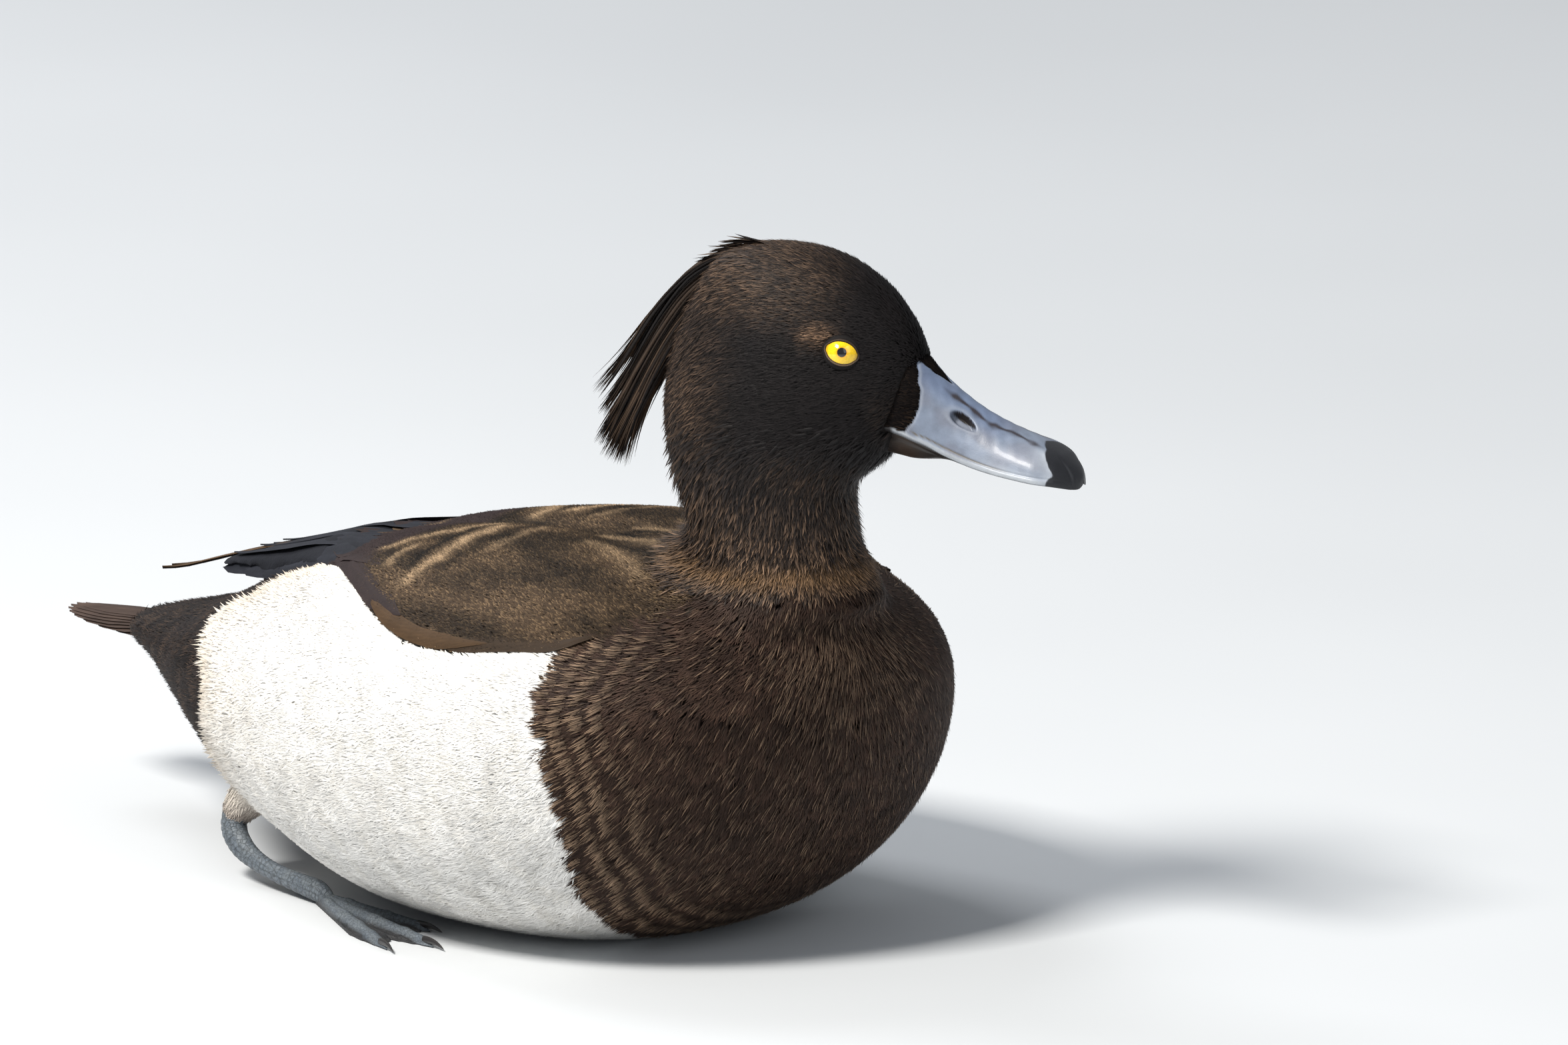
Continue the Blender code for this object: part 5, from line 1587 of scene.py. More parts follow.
def sleeve():
    """Short velvety feathers over the bill's base, up to their edge on the horn."""
    grid = upper_bill_grid(150, 90)
    rings, sides = grid.shape[:2]
    v = grid.reshape(-1, 3)
    quads = [q for q in tube_faces(rings, sides, caps=False)]
    f = np.array([t for q in quads for t in ((q[0], q[1], q[2]), (q[0], q[2], q[3]))])
    fn = unit(np.cross(v[f[:, 1]] - v[f[:, 0]], v[f[:, 2]] - v[f[:, 0]]))
    n = np.zeros_like(v)
    for k in range(3):
        np.add.at(n, f[:, k], fn)
    n = unit(n)
    x, y, z = bird_to_plan(v)
    away = v - head_to_bird(x, 0 * y, np.interp(x, (27, 74.8), (134, 117.5)))
    if ((n * away).sum(1) > 0).mean() < 0.5:
        n, f = -n, f[:, ::-1]
    tree = BVHTree.FromPolygons([tuple(a) for a in v], [tuple(int(i) for i in t) for t in f])

    def inside(p):
        x, y, z = bird_to_plan(p)
        s = bill_section(x)
        return (x < feather_edge(y, z)) & (x > 28.5) & (z > s[:, 2] + 0.4 + 1.3 * smooth(29.5, 31.5, x))

    p, m = sample(15.0, inside, v, n, f, seed=301)
    x, y, z = bird_to_plan(p)
    draw = np.random.RandomState(302)
    chance = draw.rand(len(p))
    lit = smooth(137, 129, z) * smooth(2.6, 0.2, feather_edge(y, z) - x) * 0.26
    tint = mix(BLACK * 0.55, SHEEN * 0.8, np.maximum(lit * smooth(0.3, 1.0, chance), 0.08 * chance ** 3))
    d = turn_to_bird(np.stack([-1 + 0 * x, 0.10 * np.sign(y), 0.12 + 0 * x], 1))
    d = unit(d - m * (d * m).sum(1)[:, None])
    coat = Coat("bill_base_tufts")
    blades(coat, p, m, 1.8, 0.34, tint * 0.75, tint * 1.25, prongs=1, lift=0.24, sink=-0.08, jitter=9, soft=0.70, seed=303,
           chart=head_chart, direction=d, tree=tree, belly=0.10)
    velvet = feather_material("bill_base_plumage", rough=(0.72, 0.88), specular=0.03, tip=1.25, root=0.7)
    return finish_piece(coat.write(velvet), "head_feathers")


sleeve()


def lower_bill_grid(rings=110, sides=60):
    t = np.linspace(0, 1, rings)
    s = spline(LOWER, t)
    x0, top, bottom, half, n = s.T
    a = np.linspace(0, math.pi, sides)[None]
    y = half[:, None] * power(np.cos(a), 2 / n[:, None])
    slim = mix(1.0, 0.40, smooth(33, 47, x0))[:, None]
    z = top[:, None] - (top - bottom)[:, None] * slim * power(np.sin(a), 2 / n[:, None])
    y = y * mix(1.0, 0.92, smooth(33, 44, x0))[:, None]
    x = np.repeat(x0[:, None], sides, 1)
    drop = top[:, None] - z
    groove = 0.25 * np.exp(-((drop - 1.5) / 0.3) ** 2)
    y = y - np.sign(y) * groove
    # the bare skin between the two rami
    z = z + 0.9 * np.exp(-(y / 2.6) ** 2) * smooth(66, 56, x) * smooth(0.6, 1.0, drop / np.maximum((top - bottom)[:, None], 1))
    p = np.stack([x, y, z], -1)
    inner = np.stack([np.stack([x0, -half * k, top], -1) for k in (0.8, 0.4, 0.0, -0.4, -0.8)], 1)
    ring = np.concatenate([p, inner], 1)
    return head_to_bird(ring[..., 0], ring[..., 1], ring[..., 2])


def lower_bill_colour(v):
    x, y, z = bird_to_plan(v)
    s = spline(LOWER, np.interp(x, spline(LOWER, _T)[:, 0], _T))
    drop = s[:, 1] - z
    c = np.zeros((len(v), 3)) + (0.020, 0.016, 0.014)
    c = mix(c, np.array((0.20, 0.20, 0.20)), smooth(0.9, 0.1, drop) * 0.5)
    c = mix(c, np.array((0.11, 0.055, 0.025)), np.exp(-((x - 33.5) / 3.0) ** 2) * 0.22)
    c = mix(c, INK, smooth(66, 69, x))
    return c * (1 + 0.2 * ripple(v, 1.4, 2))[:, None]


solid_grid("bill_lower_horn", lower_bill_grid(), lower_bill_colour, horn_mat, "bill_underside", "bill_lower")

# ================================================================ eyes and lids
def eye_material():
    m, nodes, links, shader = material("eye_gloss")
    tint = attribute(nodes, "tint", "Color")
    where = object_coordinates(nodes, links)
    fleck = noise(nodes, links, 2600.0, 3.0, 0.6, where)
    vary = ramp(nodes, links, fleck, ((0.3, (0.86, 0.84, 0.8)), (0.7, (1.08, 1.06, 1.0))))
    links.new(mix_colour(nodes, links, 1.0, tint, vary, "MULTIPLY"), shader.inputs["Base Color"])
    rough = nodes.new("ShaderNodeMapRange")
    links.new(fleck, rough.inputs["Value"])
    rough.inputs["To Min"].default_value, rough.inputs["To Max"].default_value = 0.10, 0.16
    links.new(rough.outputs[0], shader.inputs["Roughness"])
    links.new(bump(nodes, links, fleck, 0.1, 0.00001), shader.inputs["Normal"])
    shader.inputs["Specular IOR Level"].default_value = 0.5
    shader.inputs["Coat Weight"].default_value = 1.0
    shader.inputs["Coat Roughness"].default_value = 0.02
    return m


def lid_material():
    m, nodes, links, shader = material("lid_skin")
    tint = attribute(nodes, "tint", "Color")
    where = object_coordinates(nodes, links)
    grain = noise(nodes, links, 3000.0, 4.0, 0.65, where)
    vary = ramp(nodes, links, grain, ((0.3, (0.75,) * 3), (0.7, (1.2,) * 3)))
    links.new(mix_colour(nodes, links, 1.0, tint, vary, "MULTIPLY"), shader.inputs["Base Color"])
    rough = nodes.new("ShaderNodeMapRange")
    links.new(grain, rough.inputs["Value"])
    rough.inputs["To Min"].default_value, rough.inputs["To Max"].default_value = 0.62, 0.80
    links.new(rough.outputs[0], shader.inputs["Roughness"])
    shader.inputs["Specular IOR Level"].default_value = 0.15
    links.new(bump(nodes, links, grain, 0.8, 0.00012), shader.inputs["Normal"])
    return m


eye_mat, lid_mat = eye_material(), lid_material()
IRIS = np.array((0.90, 0.56, 0.0))


def lid_opening(theta):
    """Angle from the eye's axis to the lids' edge. theta runs from the front corner upwards."""
    c, s = np.cos(theta), np.sin(theta)
    wide, high, low = math.radians(43.0), math.radians(27.5), math.radians(30.0)
    tall = np.where(s > 0, high, low)
    oval = 1 / np.sqrt((c / wide) ** 2 + (s / tall) ** 2)
    corner = 0.07 * np.exp(-((np.abs(c) - 1) / 0.03) ** 2)
    return oval + corner


def build_eye(side, word):
    centre, forward, up, out = eye_frame(side)
    tilt = math.radians(-7.0)
    fwd = forward * math.cos(tilt) + up * math.sin(tilt)
    upw = up * math.cos(tilt) - forward * math.sin(tilt)
    rings, sides = 84, 120
    a = np.linspace(0.0, math.pi, rings)[:, None]
    a = math.pi * (np.linspace(0, 1, rings)[:, None]) ** 1.5
    th = np.linspace(0, 2 * math.pi, sides, endpoint=False)[None]
    radius = EYE_RADIUS + 0.32 * smooth(0.62, 0.0, a)
    grid = centre + (out * np.cos(a)[..., None] + (fwd * np.cos(th)[..., None] + upw * np.sin(th)[..., None]) * np.sin(a)[..., None]) * radius[..., None]

    def colour(v):
        d = unit(v - centre)
        angle = np.degrees(np.arccos(np.clip(d @ out, -1, 1)))
        turn = np.arctan2(d @ upw, d @ fwd)
        ray = 0.5 * np.sin(turn * 23 + 2 * np.sin(angle * 0.4)) + 0.5 * np.sin(turn * 41 + angle * 0.3)
        c = IRIS * (1 + 0.05 * ray)[:, None]
        c = mix(c, np.array((0.78, 0.30, 0.0)), smooth(18, 12, angle) * 0.6)
        c = mix(c, np.array((0.95, 0.66, 0.0)), np.exp(-((angle - 26) / 8.0) ** 2) * 0.45)
        c = mix(c, np.array((0.45, 0.24, 0.004)), smooth(36, 43, angle) * 0.55)
        c = mix(c, np.array((0.003, 0.003, 0.005)), smooth(12.6, 11.4, angle))
        c = mix(c, np.array((0.010, 0.008, 0.008)), smooth(44, 48, angle))
        return c

    solid_grid("eye_ball_" + word, grid, colour, eye_mat, "eye", "eye_" + word)

    count = 120
    th = np.linspace(0, 2 * math.pi, count, endpoint=False)
    opening = lid_opening(th)
    outer_angle = math.radians(66)
    steps = np.linspace(0, 1, 14)
    rows = []
    for s_ in steps:
        angle = opening + (outer_angle - opening) * s_
        lift = 0.14 + 0.26 * math.exp(-((s_ - 0.12) / 0.09) ** 2) + 0.22 * math.exp(-((s_ - 0.42) / 0.14) ** 2) - 0.05 * s_
        if s_ == 0:
            lift = 0.02
        r = EYE_RADIUS + 0.30 * np.clip((0.62 - angle) / 0.62, 0, 1) + lift
        rows.append((centre + (out * np.cos(angle)[:, None] + (fwd * np.cos(th)[:, None] + upw * np.sin(th)[:, None]) * np.sin(angle)[:, None]) * r[:, None]))
    for s_ in steps[::-1]:
        angle = opening + (outer_angle - opening) * s_ + 0.02
        r = EYE_RADIUS - 0.35 + 0 * angle
        rows.append((centre + (out * np.cos(angle)[:, None] + (fwd * np.cos(th)[:, None] + upw * np.sin(th)[:, None]) * np.sin(angle)[:, None]) * r[:, None]))
    grid = np.stack(rows, 1)          # round the eye, then across the lid
    closed = np.concatenate([grid, grid[:1]], 0)
    obj_mesh = new_mesh("lids_" + word, grid.reshape(-1, 3), [
        (i * grid.shape[1] + j, ((i + 1) % count) * grid.shape[1] + j,
         ((i + 1) % count) * grid.shape[1] + (j + 1) % grid.shape[1], i * grid.shape[1] + (j + 1) % grid.shape[1])
        for i in range(count) for j in range(grid.shape[1])])
    bm = bmesh.new()
    bm.from_mesh(obj_mesh)
    bmesh.ops.recalc_face_normals(bm, faces=bm.faces)
    bm.to_mesh(obj_mesh)
    bm.free()
    obj_mesh.shade_smooth()
    share = np.tile(np.concatenate([steps, steps[::-1]]), count)
    tint = obj_mesh.attributes.new("tint", "FLOAT_COLOR", "POINT")
    turn = np.repeat(th, grid.shape[1])
    low_rim = 0.25 + 0.65 * smooth(0.2, -0.6, np.sin(turn)) + 0.25 * smooth(0.3, -0.8, np.cos(turn))
    c = mix(np.zeros((len(share), 3)) + (0.010, 0.0085, 0.0085), np.array((0.34, 0.23, 0.15)),
            np.exp(-((share - 0.10) / 0.035) ** 2) * np.clip(low_rim, 0, 1) * 0.6)
    c = mix(c, np.array((0.006, 0.005, 0.005)), smooth(0.05, 0.0, share))
    tint.data.foreach_set("color", np.concatenate([c, np.ones((len(c), 1))], 1).astype(np.float32).ravel())
    obj_mesh.materials.append(lid_mat)
    obj = link(bpy.data.objects.new("lids_" + word, obj_mesh))
    finish_piece(obj, "head_feathers")


build_eye(-1, "right")
build_eye(1, "left")

# ================================================================ crest
# Families of hanging strands, in the head's plan: the path of each (x, z), how many strands,
# their spread to the side at root and tip, and how far they spread in the path's own plane
CREST = (
    (((-5, 166.6), (-12.5, 165.0), (-19.5, 161.2), (-26, 155.2), (-31.5, 148.6), (-36, 142.0), (-40.6, 135.6), (-45.8, 129.2)), 110, 3.4, 1.8, 1.3),
    (((-6, 165.4), (-13.5, 163.2), (-20.6, 158.4), (-26.8, 151.0), (-32.0, 143.2), (-36.6, 135.6), (-40.6, 129.4), (-44.2, 124.2)), 100, 4.2, 2.2, 1.6),
    (((-6, 164.6), (-14.0, 161.6), (-21.2, 155.4), (-27.2, 147.2), (-32.4, 138.6), (-37.0, 130.2), (-41.0, 123.4), (-44.6, 116.8)), 220, 5.0, 2.6, 2.0),
    (((-6, 163.0), (-13.5, 158.8), (-20.0, 152.6), (-25.6, 145.2), (-30.4, 137.2), (-34.6, 129.2), (-38.8, 121.4), (-42.8, 113.8)), 210, 5.6, 2.4, 2.2),
    (((-10, 160.2), (-16.5, 154.8), (-22.0, 148.2), (-26.6, 141.2), (-30.6, 134.0), (-34.4, 126.4), (-37.4, 119.6), (-39.8, 112.6)), 170, 5.8, 2.6, 2.0),
    (((-2, 167.9), (-6.5, 168.3), (-11.0, 167.9), (-15.4, 167.0)), 24, 3.0, 2.2, 0.3),
    (((-4, 167.2), (-9, 167.0), (-13.4, 166.2), (-17.8, 165.1)), 24, 3.4, 2.0, 0.35),
    (((-6, 165.8), (-11.5, 165.2), (-16.2, 163.8), (-20.6, 161.9)), 26, 3.8, 2.0, 0.4),
)


def build_crest():
    coat = Coat("crest_strands")
    draw = np.random.RandomState(404)
    seg = 16
    for family, (path, count, wide0, wide1, thick) in enumerate(CREST):
        for i in range(count):
            end = 1.0 - 0.28 * draw.rand() ** 2 if draw.rand() < 0.75 else 0.55 + 0.4 * draw.rand()
            start = 0.22 * draw.rand() if len(path) > 5 else 0.1 * draw.rand()
            t = start + (end - start) * np.linspace(0, 1, seg + 1)
            c = spline(path, t)
            ahead = unit(np.gradient(c, axis=0))
            a = draw.normal(0, 0.5)
            b = draw.normal(0, 0.45)
            squeeze = 1 - 0.62 * np.linspace(0, 1, seg + 1) ** 1.2
            stray = draw.normal(0, 0.9) * np.linspace(0, 1, seg + 1) ** 2.5
            off = a * thick * squeeze * np.minimum(1, 0.35 + np.linspace(0, 2.2, seg + 1)) + stray
            x = c[:, 0] - ahead[:, 1] * off
            z = c[:, 1] + ahead[:, 0] * off
            y = b * (wide0 + (wide1 - wide0) * np.linspace(0, 1, seg + 1)) + draw.normal(0, 0.4) * np.linspace(0, 1, seg + 1) ** 2
            spine = head_to_bird(x, y, z)
            direction = unit(np.gradient(spine, axis=0))
            out = turn_to_bird(np.stack([-ahead[:, 1], 0 * x + (1.2 if b > 0 else -1.2) * abs(b), ahead[:, 0]], 1))
            out = unit(out - direction * (out * direction).sum(1, keepdims=True))
            across = unit(np.cross(out, direction))
            w = (0.20 + 0.22 * draw.rand()) * np.minimum(1.0, (1 - np.linspace(0, 1, seg + 1)) * 3.2 + 0.02) ** 0.8
            fold = 0.45 * w
            left, right = spine - across * w[:, None] - out * fold[:, None], spine + across * w[:, None] - out * fold[:, None]
            v = np.stack([left, spine + out * fold[:, None], right], 1).reshape(-1, 3)
            n = np.stack([unit(out - across * 0.6), out, unit(out + across * 0.6)], 1).reshape(-1, 3)
            f = []
            for k in range(seg):
                for j in range(2):
                    p0 = k * 3 + j
                    f += [(p0, p0 + 4, p0 + 1), (p0, p0 + 3, p0 + 4)]
            chance = draw.rand()
            # Each strand is black with a painted sheen, more on some strands and towards the tips
            base = mix(BLACK * 1.1, SHEEN * 0.95, 0.75 * chance ** 2)
            tint = np.tile(base, (len(v), 1))
            tip = np.repeat(np.linspace(0, 1, seg + 1), 3)
            tint = mix(tint, SHEEN * 0.9, 0.25 * tip * chance)
            root = head_chart(head_to_bird(np.clip(x[:1], -22, 50), y[:1], z[:1]))
            uv = root + np.stack([(tip - 0.5) * PATCH, np.tile((-0.5, 0, 0.5), seg + 1) * PATCH], 1)
            coat.add(v, n, np.array(f), tint, tip, np.full(len(v), chance), uv)
    return finish_piece(coat.write(crest_mat), "crest_feathers", "crest")


crest_mat = feather_material("crest_plumage", rough=(0.42, 0.58), specular=0.22, tip=1.3, root=0.85, grain=2200.0)
build_crest()

# ================================================================ legs and feet
TOE_ROOT = (-24.0, 46.0)
# length, degrees outwards, joints along it, half width
TOES = ((40.0, 2.0, (12, 25), 1.7), (53.0, 13.0, (13, 27, 40), 1.9), (50.0, 25.0, (10, 20, 30, 39), 1.8))
SHANK = np.array((        # x, distance from the middle, height, half thickness
    (-17.5, 46.6, 2.1, 0.7), (-19.5, 46.4, 2.5, 1.9), (-23.0, 46.0, 3.3, 2.5), (-28.0, 45.5, 3.7, 2.35), (-38.0, 44.4, 4.6, 2.1), (-46.0, 43.2, 6.1, 2.3),
    (-52.0, 42.1, 8.4, 2.9), (-55.4, 41.2, 11.6, 3.2), (-55.6, 40.2, 15.4, 3.4), (-51.0, 38.2, 21.5, 4.4),
))
THIGH = np.array((
    (-56.0, 40.6, 14.2, 2.9), (-54.8, 39.8, 17.2, 4.1), (-50.0, 38.0, 22.5, 6.4), (-42.0, 35.4, 30.0, 9.2), (-34.0, 32.0, 37.0, 11.0),
))
TOE_BLUE = np.array((0.135, 0.160, 0.185))
WEB_DARK = np.array((0.030, 0.031, 0.034))


def tube(rows, rings, sides, side, width=1.0):
    t = np.linspace(0, 1, rings)
    r = spline(rows, t)
    c, radius = r[:, :3], r[:, 3]
    ahead = unit(np.gradient(c, axis=0))
    across = unit(np.cross(ahead, np.cross((0.0, 1.0, 0.0), ahead)))
    up = unit(np.cross(ahead, across))
    a = np.linspace(0, 2 * math.pi, sides, endpoint=False)
    grid = c[:, None] + (across[:, None] * (np.cos(a) * width)[None, :, None] + up[:, None] * np.sin(a)[None, :, None]) * radius[:, None, None]
    grid = grid * (1, side, 1)
    return grid, t, a


def leg_material(name, rough, cell):
    m, nodes, links, shader = material(name)
    tint = attribute(nodes, "tint", "Color")
    where = object_coordinates(nodes, links)
    scale = nodes.new("ShaderNodeTexVoronoi")
    scale.feature = "DISTANCE_TO_EDGE"
    scale.inputs["Scale"].default_value = cell
    links.new(where, scale.inputs["Vector"])
    plate = ramp(nodes, links, scale.outputs["Distance"], ((0.0, (0.45,) * 3), (0.10, (0.95,) * 3), (0.5, (1.08,) * 3)))
    cloud = noise(nodes, links, 300.0, 4.0, 0.6, where)
    vary = ramp(nodes, links, cloud, ((0.3, (0.80, 0.82, 0.86)), (0.7, (1.18, 1.14, 1.08))))
    colour = mix_colour(nodes, links, 1.0, tint, plate, "MULTIPLY")
    links.new(mix_colour(nodes, links, 1.0, colour, vary, "MULTIPLY"), shader.inputs["Base Color"])
    span = nodes.new("ShaderNodeMapRange")
    links.new(cloud, span.inputs["Value"])
    span.inputs["To Min"].default_value, span.inputs["To Max"].default_value = rough
    links.new(span.outputs[0], shader.inputs["Roughness"])
    links.new(bump(nodes, links, plate, 0.7, 0.00018), shader.inputs["Normal"])
    shader.inputs["Specular IOR Level"].default_value = 0.4
    return m


def shank_piece(side, word):
    rings, sides = 200, 40
    grid, t, a = tube(SHANK, rings, sides, side, 0.82)
    centre = grid.mean(1, keepdims=True)
    out = unit(grid - centre)
    length = t * 62.0
    front = smooth(-0.2, 0.5, np.sin(a))[None]
    scute = np.abs(np.sin(math.pi * length / 2.1))[:, None] ** 0.6
    net = np.abs(np.sin(math.pi * length / 1.3)[:, None] * np.sin(a * 7)[None]) ** 0.5
    rise = 0.22 * (scute * front + net * (1 - front) * 0.7) + 0.30 * np.exp(-((length - 48) / 3.5) ** 2)[:, None] * np.cos(a * 2)[None]
    ends = (smooth(0.0, 0.05, t) * smooth(1.0, 0.95, t))[:, None]
    grid = grid + out * (rise * ends)[..., None]
    groove = (scute * front + net * (1 - front)).ravel()

    def colour(v):
        g = np.resize(groove, len(v)) if len(v) != groove.size else groove
        c = TOE_BLUE * (0.55 + 0.55 * g)[:, None]
        return mix(c, WEB_DARK * 1.5, smooth(13, 17, v[:, 2]) * 0.6)

    return solid_grid("shank_" + word, grid, colour, leg_mat, "leg_skin", "leg_" + word)


def foot_piece(side, word):
    first, last = TOES[0][1] - 5.5, TOES[-1][1] + 5.5
    spokes, steps = 150, 84
    a = np.linspace(first, last, spokes)[:, None]
    t = np.linspace(0, 1, steps)[None]
    angles = np.array([toe[1] for toe in TOES])
    lengths = np.array([toe[0] for toe in TOES])
    reach = np.interp(a, angles, lengths)
    off_toe = np.abs(a - angles[None]).min(1, keepdims=True)
    reach = reach * (1 - 0.20 * np.minimum(1, off_toe / 5.5) ** 0.75)
    reach = np.where((a < angles[0]) | (a > angles[-1]), reach - 1.2 * np.minimum(1, off_toe / 5.5) * 6, reach)
    reach = reach + 0.5 * np.sin(a * 2.9) * (off_toe > 1.5)
    r = 1.0 + (reach - 1.0) * t
    rad = np.radians(a)
    bend = 0.035 * r * np.sin(math.pi * t)
    x = TOE_ROOT[0] + r * np.cos(rad)
    y = TOE_ROOT[1] + r * np.sin(rad)
    high = 0.85 + 0.12 * np.sin(r * 1.1 + a * 0.4) * t + 0.10 * np.sin(a * 2.1) * smooth(0.2, 0.6, t)
    paint = np.zeros(np.broadcast(x, t).shape)
    for length, angle, joints, half in TOES:
        off = r * np.sin(np.radians(a - angle))
        knuckle = sum(np.exp(-((r - j) / 1.5) ** 2) for j in joints)
        wide = half * (1 - 0.35 * np.minimum(1, r / length) ** 2) * (1 + 0.16 * knuckle)
        tall = (3.3 - 1.5 * np.minimum(1, r / length)) * (1 + 0.10 * knuckle)
        ring = 0.14 * np.abs(np.sin(math.pi * r / 1.7)) ** 0.6
        body = np.sqrt(np.clip(1 - (off / (wide * 1.25)) ** 2, 0, 1))
        high = np.maximum(high, (tall + ring) * body)
        paint = np.maximum(paint, smooth(0.25, 0.75, body) * (0.62 + 2.6 * ring))
    high = np.maximum(high * smooth(1.02, 0.93, t), 0.45)
    top = np.stack([x + 0 * t, side * (y + 0 * t), high + 0 * x], -1)
    under = top.copy()
    under[..., 2] = 0.05
    grid = np.concatenate([top, under[:, ::-1]], 1)
    paint = np.concatenate([paint, paint[:, ::-1] * 0], 1).ravel()

    def colour(v):
        g = paint if len(v) == paint.size else np.resize(paint, len(v))
        return mix(np.zeros((len(v), 3)) + WEB_DARK, TOE_BLUE, np.clip(g, 0, 1))

    foot = solid_grid("foot_skin_" + word, grid, colour, web_mat, "web_skin", "foot_" + word)
    # claws
    grids, tips = [], []
    for length, angle, joints, half in TOES:
        rows = []
        for k in np.linspace(0, 1, 14):
            reach_ = length - 4.4 + 8.4 * k
            rows.append((TOE_ROOT[0] + reach_ * math.cos(math.radians(angle)), TOE_ROOT[1] + reach_ * math.sin(math.radians(angle)),
                         1.15 + 0.55 * math.sin(math.pi * k * 0.85) - 0.75 * k * k, 1.0 * (1 - k) ** 0.7 + 0.06))
        grids.append(tube(np.array(rows), 24, 14, side, 0.7)[0])
    # the small hind toe, raised, with its claw
    hind = np.array(((-27.0, 44.6, 3.6, 1.5), (-30.5, 42.6, 3.0, 1.6), (-34.0, 40.6, 2.0, 1.4), (-37.0, 39.0, 1.5, 1.1), (-38.6, 38.2, 1.3, 0.5)))
    claw = np.array(((-37.2, 38.9, 1.6, 0.8), (-39.4, 37.8, 1.6, 0.6), (-41.4, 36.9, 0.7, 0.08)))
    grids.append(tube(claw, 16, 12, side, 0.7)[0])
    obj = joined("claws_" + word, grids)
    v, n, f = mesh_arrays(obj.data)
    tint = obj.data.attributes.new("tint", "FLOAT_COLOR", "POINT")
    c = np.zeros((len(v), 3)) + (0.018, 0.016, 0.016)
    tint.data.foreach_set("color", np.concatenate([c, np.ones((len(c), 1))], 1).astype(np.float32).ravel())
    obj.data.materials.append(claw_mat)
    obj.data.shade_smooth()
    finish_piece(obj, "leg_skin")
    grid, t, a = tube(hind, 60, 26, side, 0.8)
    rise = 0.12 * np.abs(np.sin(math.pi * t * 13 / 1.5)) ** 0.6 * smooth(0, 0.1, t) * smooth(1, 0.9, t)
    grid = grid + unit(grid - grid.mean(1, keepdims=True)) * rise[:, None, None]
    solid_grid("hind_toe_" + word, grid, lambda v: np.zeros((len(v), 3)) + TOE_BLUE * 0.8, leg_mat, "leg_skin")
    return foot


def thigh_piece(side, word):
    """The feathered shank above the heel, as far as the flank covers it."""
    grid, t, a = tube(THIGH, 60, 48, side, 0.9)
    rings, sides = grid.shape[:2]
    shade = mix(WHITE * 0.80, CREAM, 0.35)

    def colour(v):
        return mix(np.zeros((len(v), 3)) + shade, BROWN_BLACK * 9, smooth(24, 14, v[:, 2]) * 0.75)

    obj = solid_grid("thigh_" + word, grid, colour, thigh_mat, "trunk_feathers")
    v = grid.reshape(-1, 3)
    quads = [q for q in tube_faces(rings, sides, caps=False)]
    f = np.array([w for q in quads for w in ((q[0], q[1], q[2]), (q[0], q[2], q[3]))])
    n = unit(grid - grid.mean(1, keepdims=True)).reshape(-1, 3)
    fn = np.cross(v[f[:, 1]] - v[f[:, 0]], v[f[:, 2]] - v[f[:, 0]])
    if (fn * n[f[:, 0]]).sum(1).mean() < 0:
        f = f[:, ::-1]
    tree = BVHTree.FromPolygons([tuple(q) for q in v], [tuple(int(i) for i in w) for w in f])
    p, m = sample(1.7, lambda q: q[:, 2] > 13.5, v, n, f, seed=501)
    draw = np.random.RandomState(502)
    d = unit(np.tile(np.array((-0.75, side * 0.25, -1.0)), (len(p), 1)))
    d = unit(d - m * (d * m).sum(1)[:, None])
    c = colour(p) * (0.92 + 0.16 * draw.rand(len(p)))[:, None]
    c = np.where((p[:, 0] + 0.35 * p[:, 2] > -38)[:, None], np.maximum(c, WHITE * 0.8), c)
    coat = Coat("thigh_tufts_" + word)
    blades(coat, p, m, 4.4, 0.62, c * 0.97, c * 1.05, prongs=3, fan=12, lift=0.22, sink=0.3, jitter=7, curl=0.6, soft=0.90,
           seed=503, direction=d, tree=tree)
    return finish_piece(coat.write(white_mat), "trunk_feathers")


leg_mat = leg_material("leg_scales", (0.42, 0.60), 900.0)
web_mat = leg_material("web_scales", (0.46, 0.64), 1300.0)
claw_mat = horn_material("claw_horn", (0.30, 0.45), 0.15, 0.00004)
thigh_mat = feather_material("thigh_skin", rough=(0.7, 0.9), specular=0.15, grain=1400.0, grain_depth=0.0003)
for side_, word_ in ((-1, "right"), (1, "left")):
    shank_piece(side_, word_)
    foot_piece(side_, word_)
    thigh_piece(side_, word_)

# ================================================================ stage, lights, camera
HEADING, RISE = math.radians(44.0), math.radians(13.0)
RIGHT = np.array([math.cos(HEADING), math.sin(HEADING), 0.0])
TOWARDS = np.array([math.sin(HEADING) * math.cos(RISE), -math.cos(HEADING) * math.cos(RISE), math.sin(RISE)])
UP = np.cross(TOWARDS, RIGHT)
PIXELS_PER_MM, DISTANCE = 6.35, 6000.0
AIM = RIGHT * ((1176.0 - 786.0) / PIXELS_PER_MM) + UP * ((1330.0 - 784.0) / PIXELS_PER_MM)

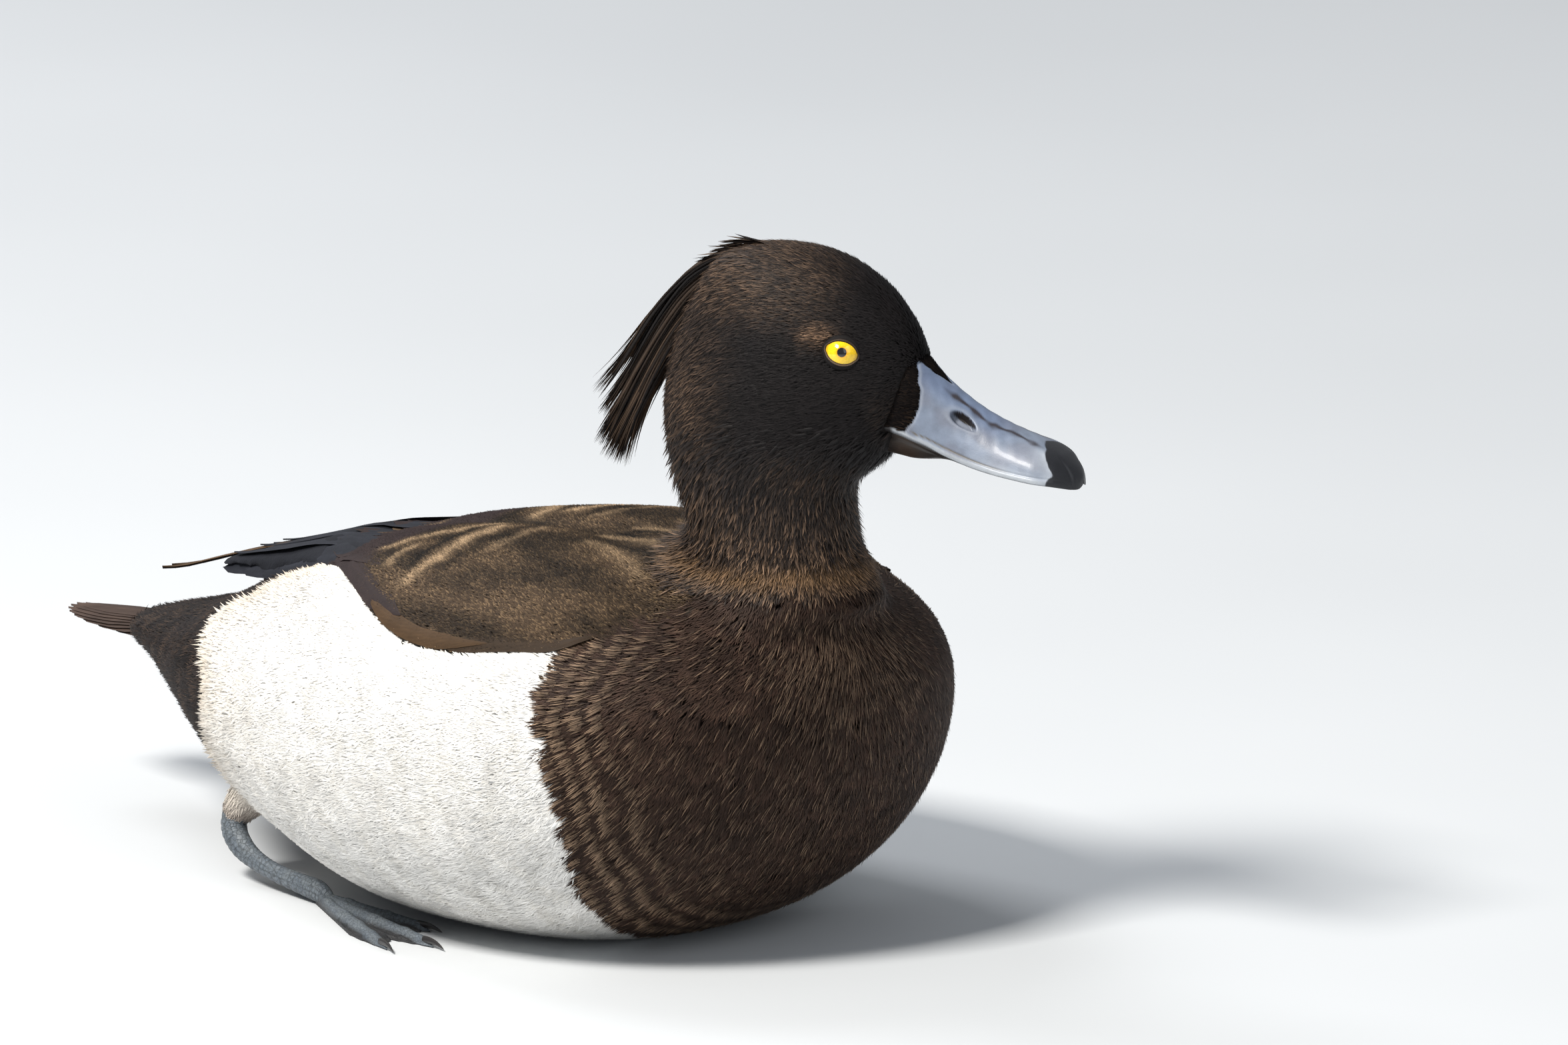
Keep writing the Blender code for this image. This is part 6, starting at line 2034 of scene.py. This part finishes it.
floor_mesh = bpy.data.meshes.new("floor")
floor_mesh.from_pydata([(-14, -14, 0), (14, -14, 0), (14, 14, 0), (-14, 14, 0)], [], [(0, 1, 2, 3)])
floor = link(bpy.data.objects.new("floor", floor_mesh))
m, nodes, links, shader = material("studio_floor")
where = object_coordinates(nodes, links)
shade = ramp(nodes, links, noise(nodes, links, 3.0, 2.0, 0.5, where), ((0.3, (0.58, 0.60, 0.62)), (0.7, (0.62, 0.64, 0.66))))
links.new(shade, shader.inputs["Base Color"])
shader.inputs["Roughness"].default_value = 0.85
floor_mesh.materials.append(m)

camera_data = bpy.data.cameras.new("camera")
camera_data.sensor_fit = "HORIZONTAL"
camera_data.sensor_width = 36.0
camera_data.lens = 36.0 * PIXELS_PER_MM * DISTANCE / 2352.0
camera_data.clip_end = 60.0
camera = link(bpy.data.objects.new("camera", camera_data))
camera.location = Vector(mm_to_row(AIM + TOWARDS * DISTANCE))
camera.rotation_euler = Vector(TOWARDS).to_track_quat("Z", "Y").to_euler()
scene.camera = camera


def area_light(name, place, aim, size, watts, colour=(1, 1, 1)):
    data = bpy.data.lights.new(name, "AREA")
    data.size = size
    data.energy = watts
    data.color = colour
    obj = link(bpy.data.objects.new(name, data))
    obj.location = place
    obj.rotation_euler = (Vector(place) - Vector(aim)).to_track_quat("Z", "Y").to_euler()
    return obj


flat_back = unit(np.array([TOWARDS[0], TOWARDS[1], 0.0]))


def round_camera(left_degrees, up_degrees, reach):
    a = math.radians(left_degrees)
    side = -RIGHT
    flat = flat_back * math.cos(a) + side * math.sin(a)
    e = math.radians(up_degrees)
    return tuple(np.array([0.03, 0.02, 0.08]) + (flat * math.cos(e) + np.array([0, 0, 1]) * math.sin(e)) * reach)


area_light("key", round_camera(46, 50, 1.7), (0.03, 0, 0.08), 0.40, 42, (1.0, 0.965, 0.91))
area_light("fill", round_camera(-40, 28, 2.2), (0.03, 0, 0.08), 1.6, 9, (0.92, 0.96, 1.0))
area_light("rim", round_camera(140, 46, 1.9), (0.03, 0, 0.1), 0.8, 16, (0.97, 0.98, 1.0))
world = bpy.data.worlds.new("studio")
scene.world = world
world.use_nodes = True
world.node_tree.nodes["Background"].inputs["Color"].default_value = (0.86, 0.90, 0.95, 1)
world.node_tree.nodes["Background"].inputs["Strength"].default_value = 0.34
scene.view_settings.view_transform = "Standard"
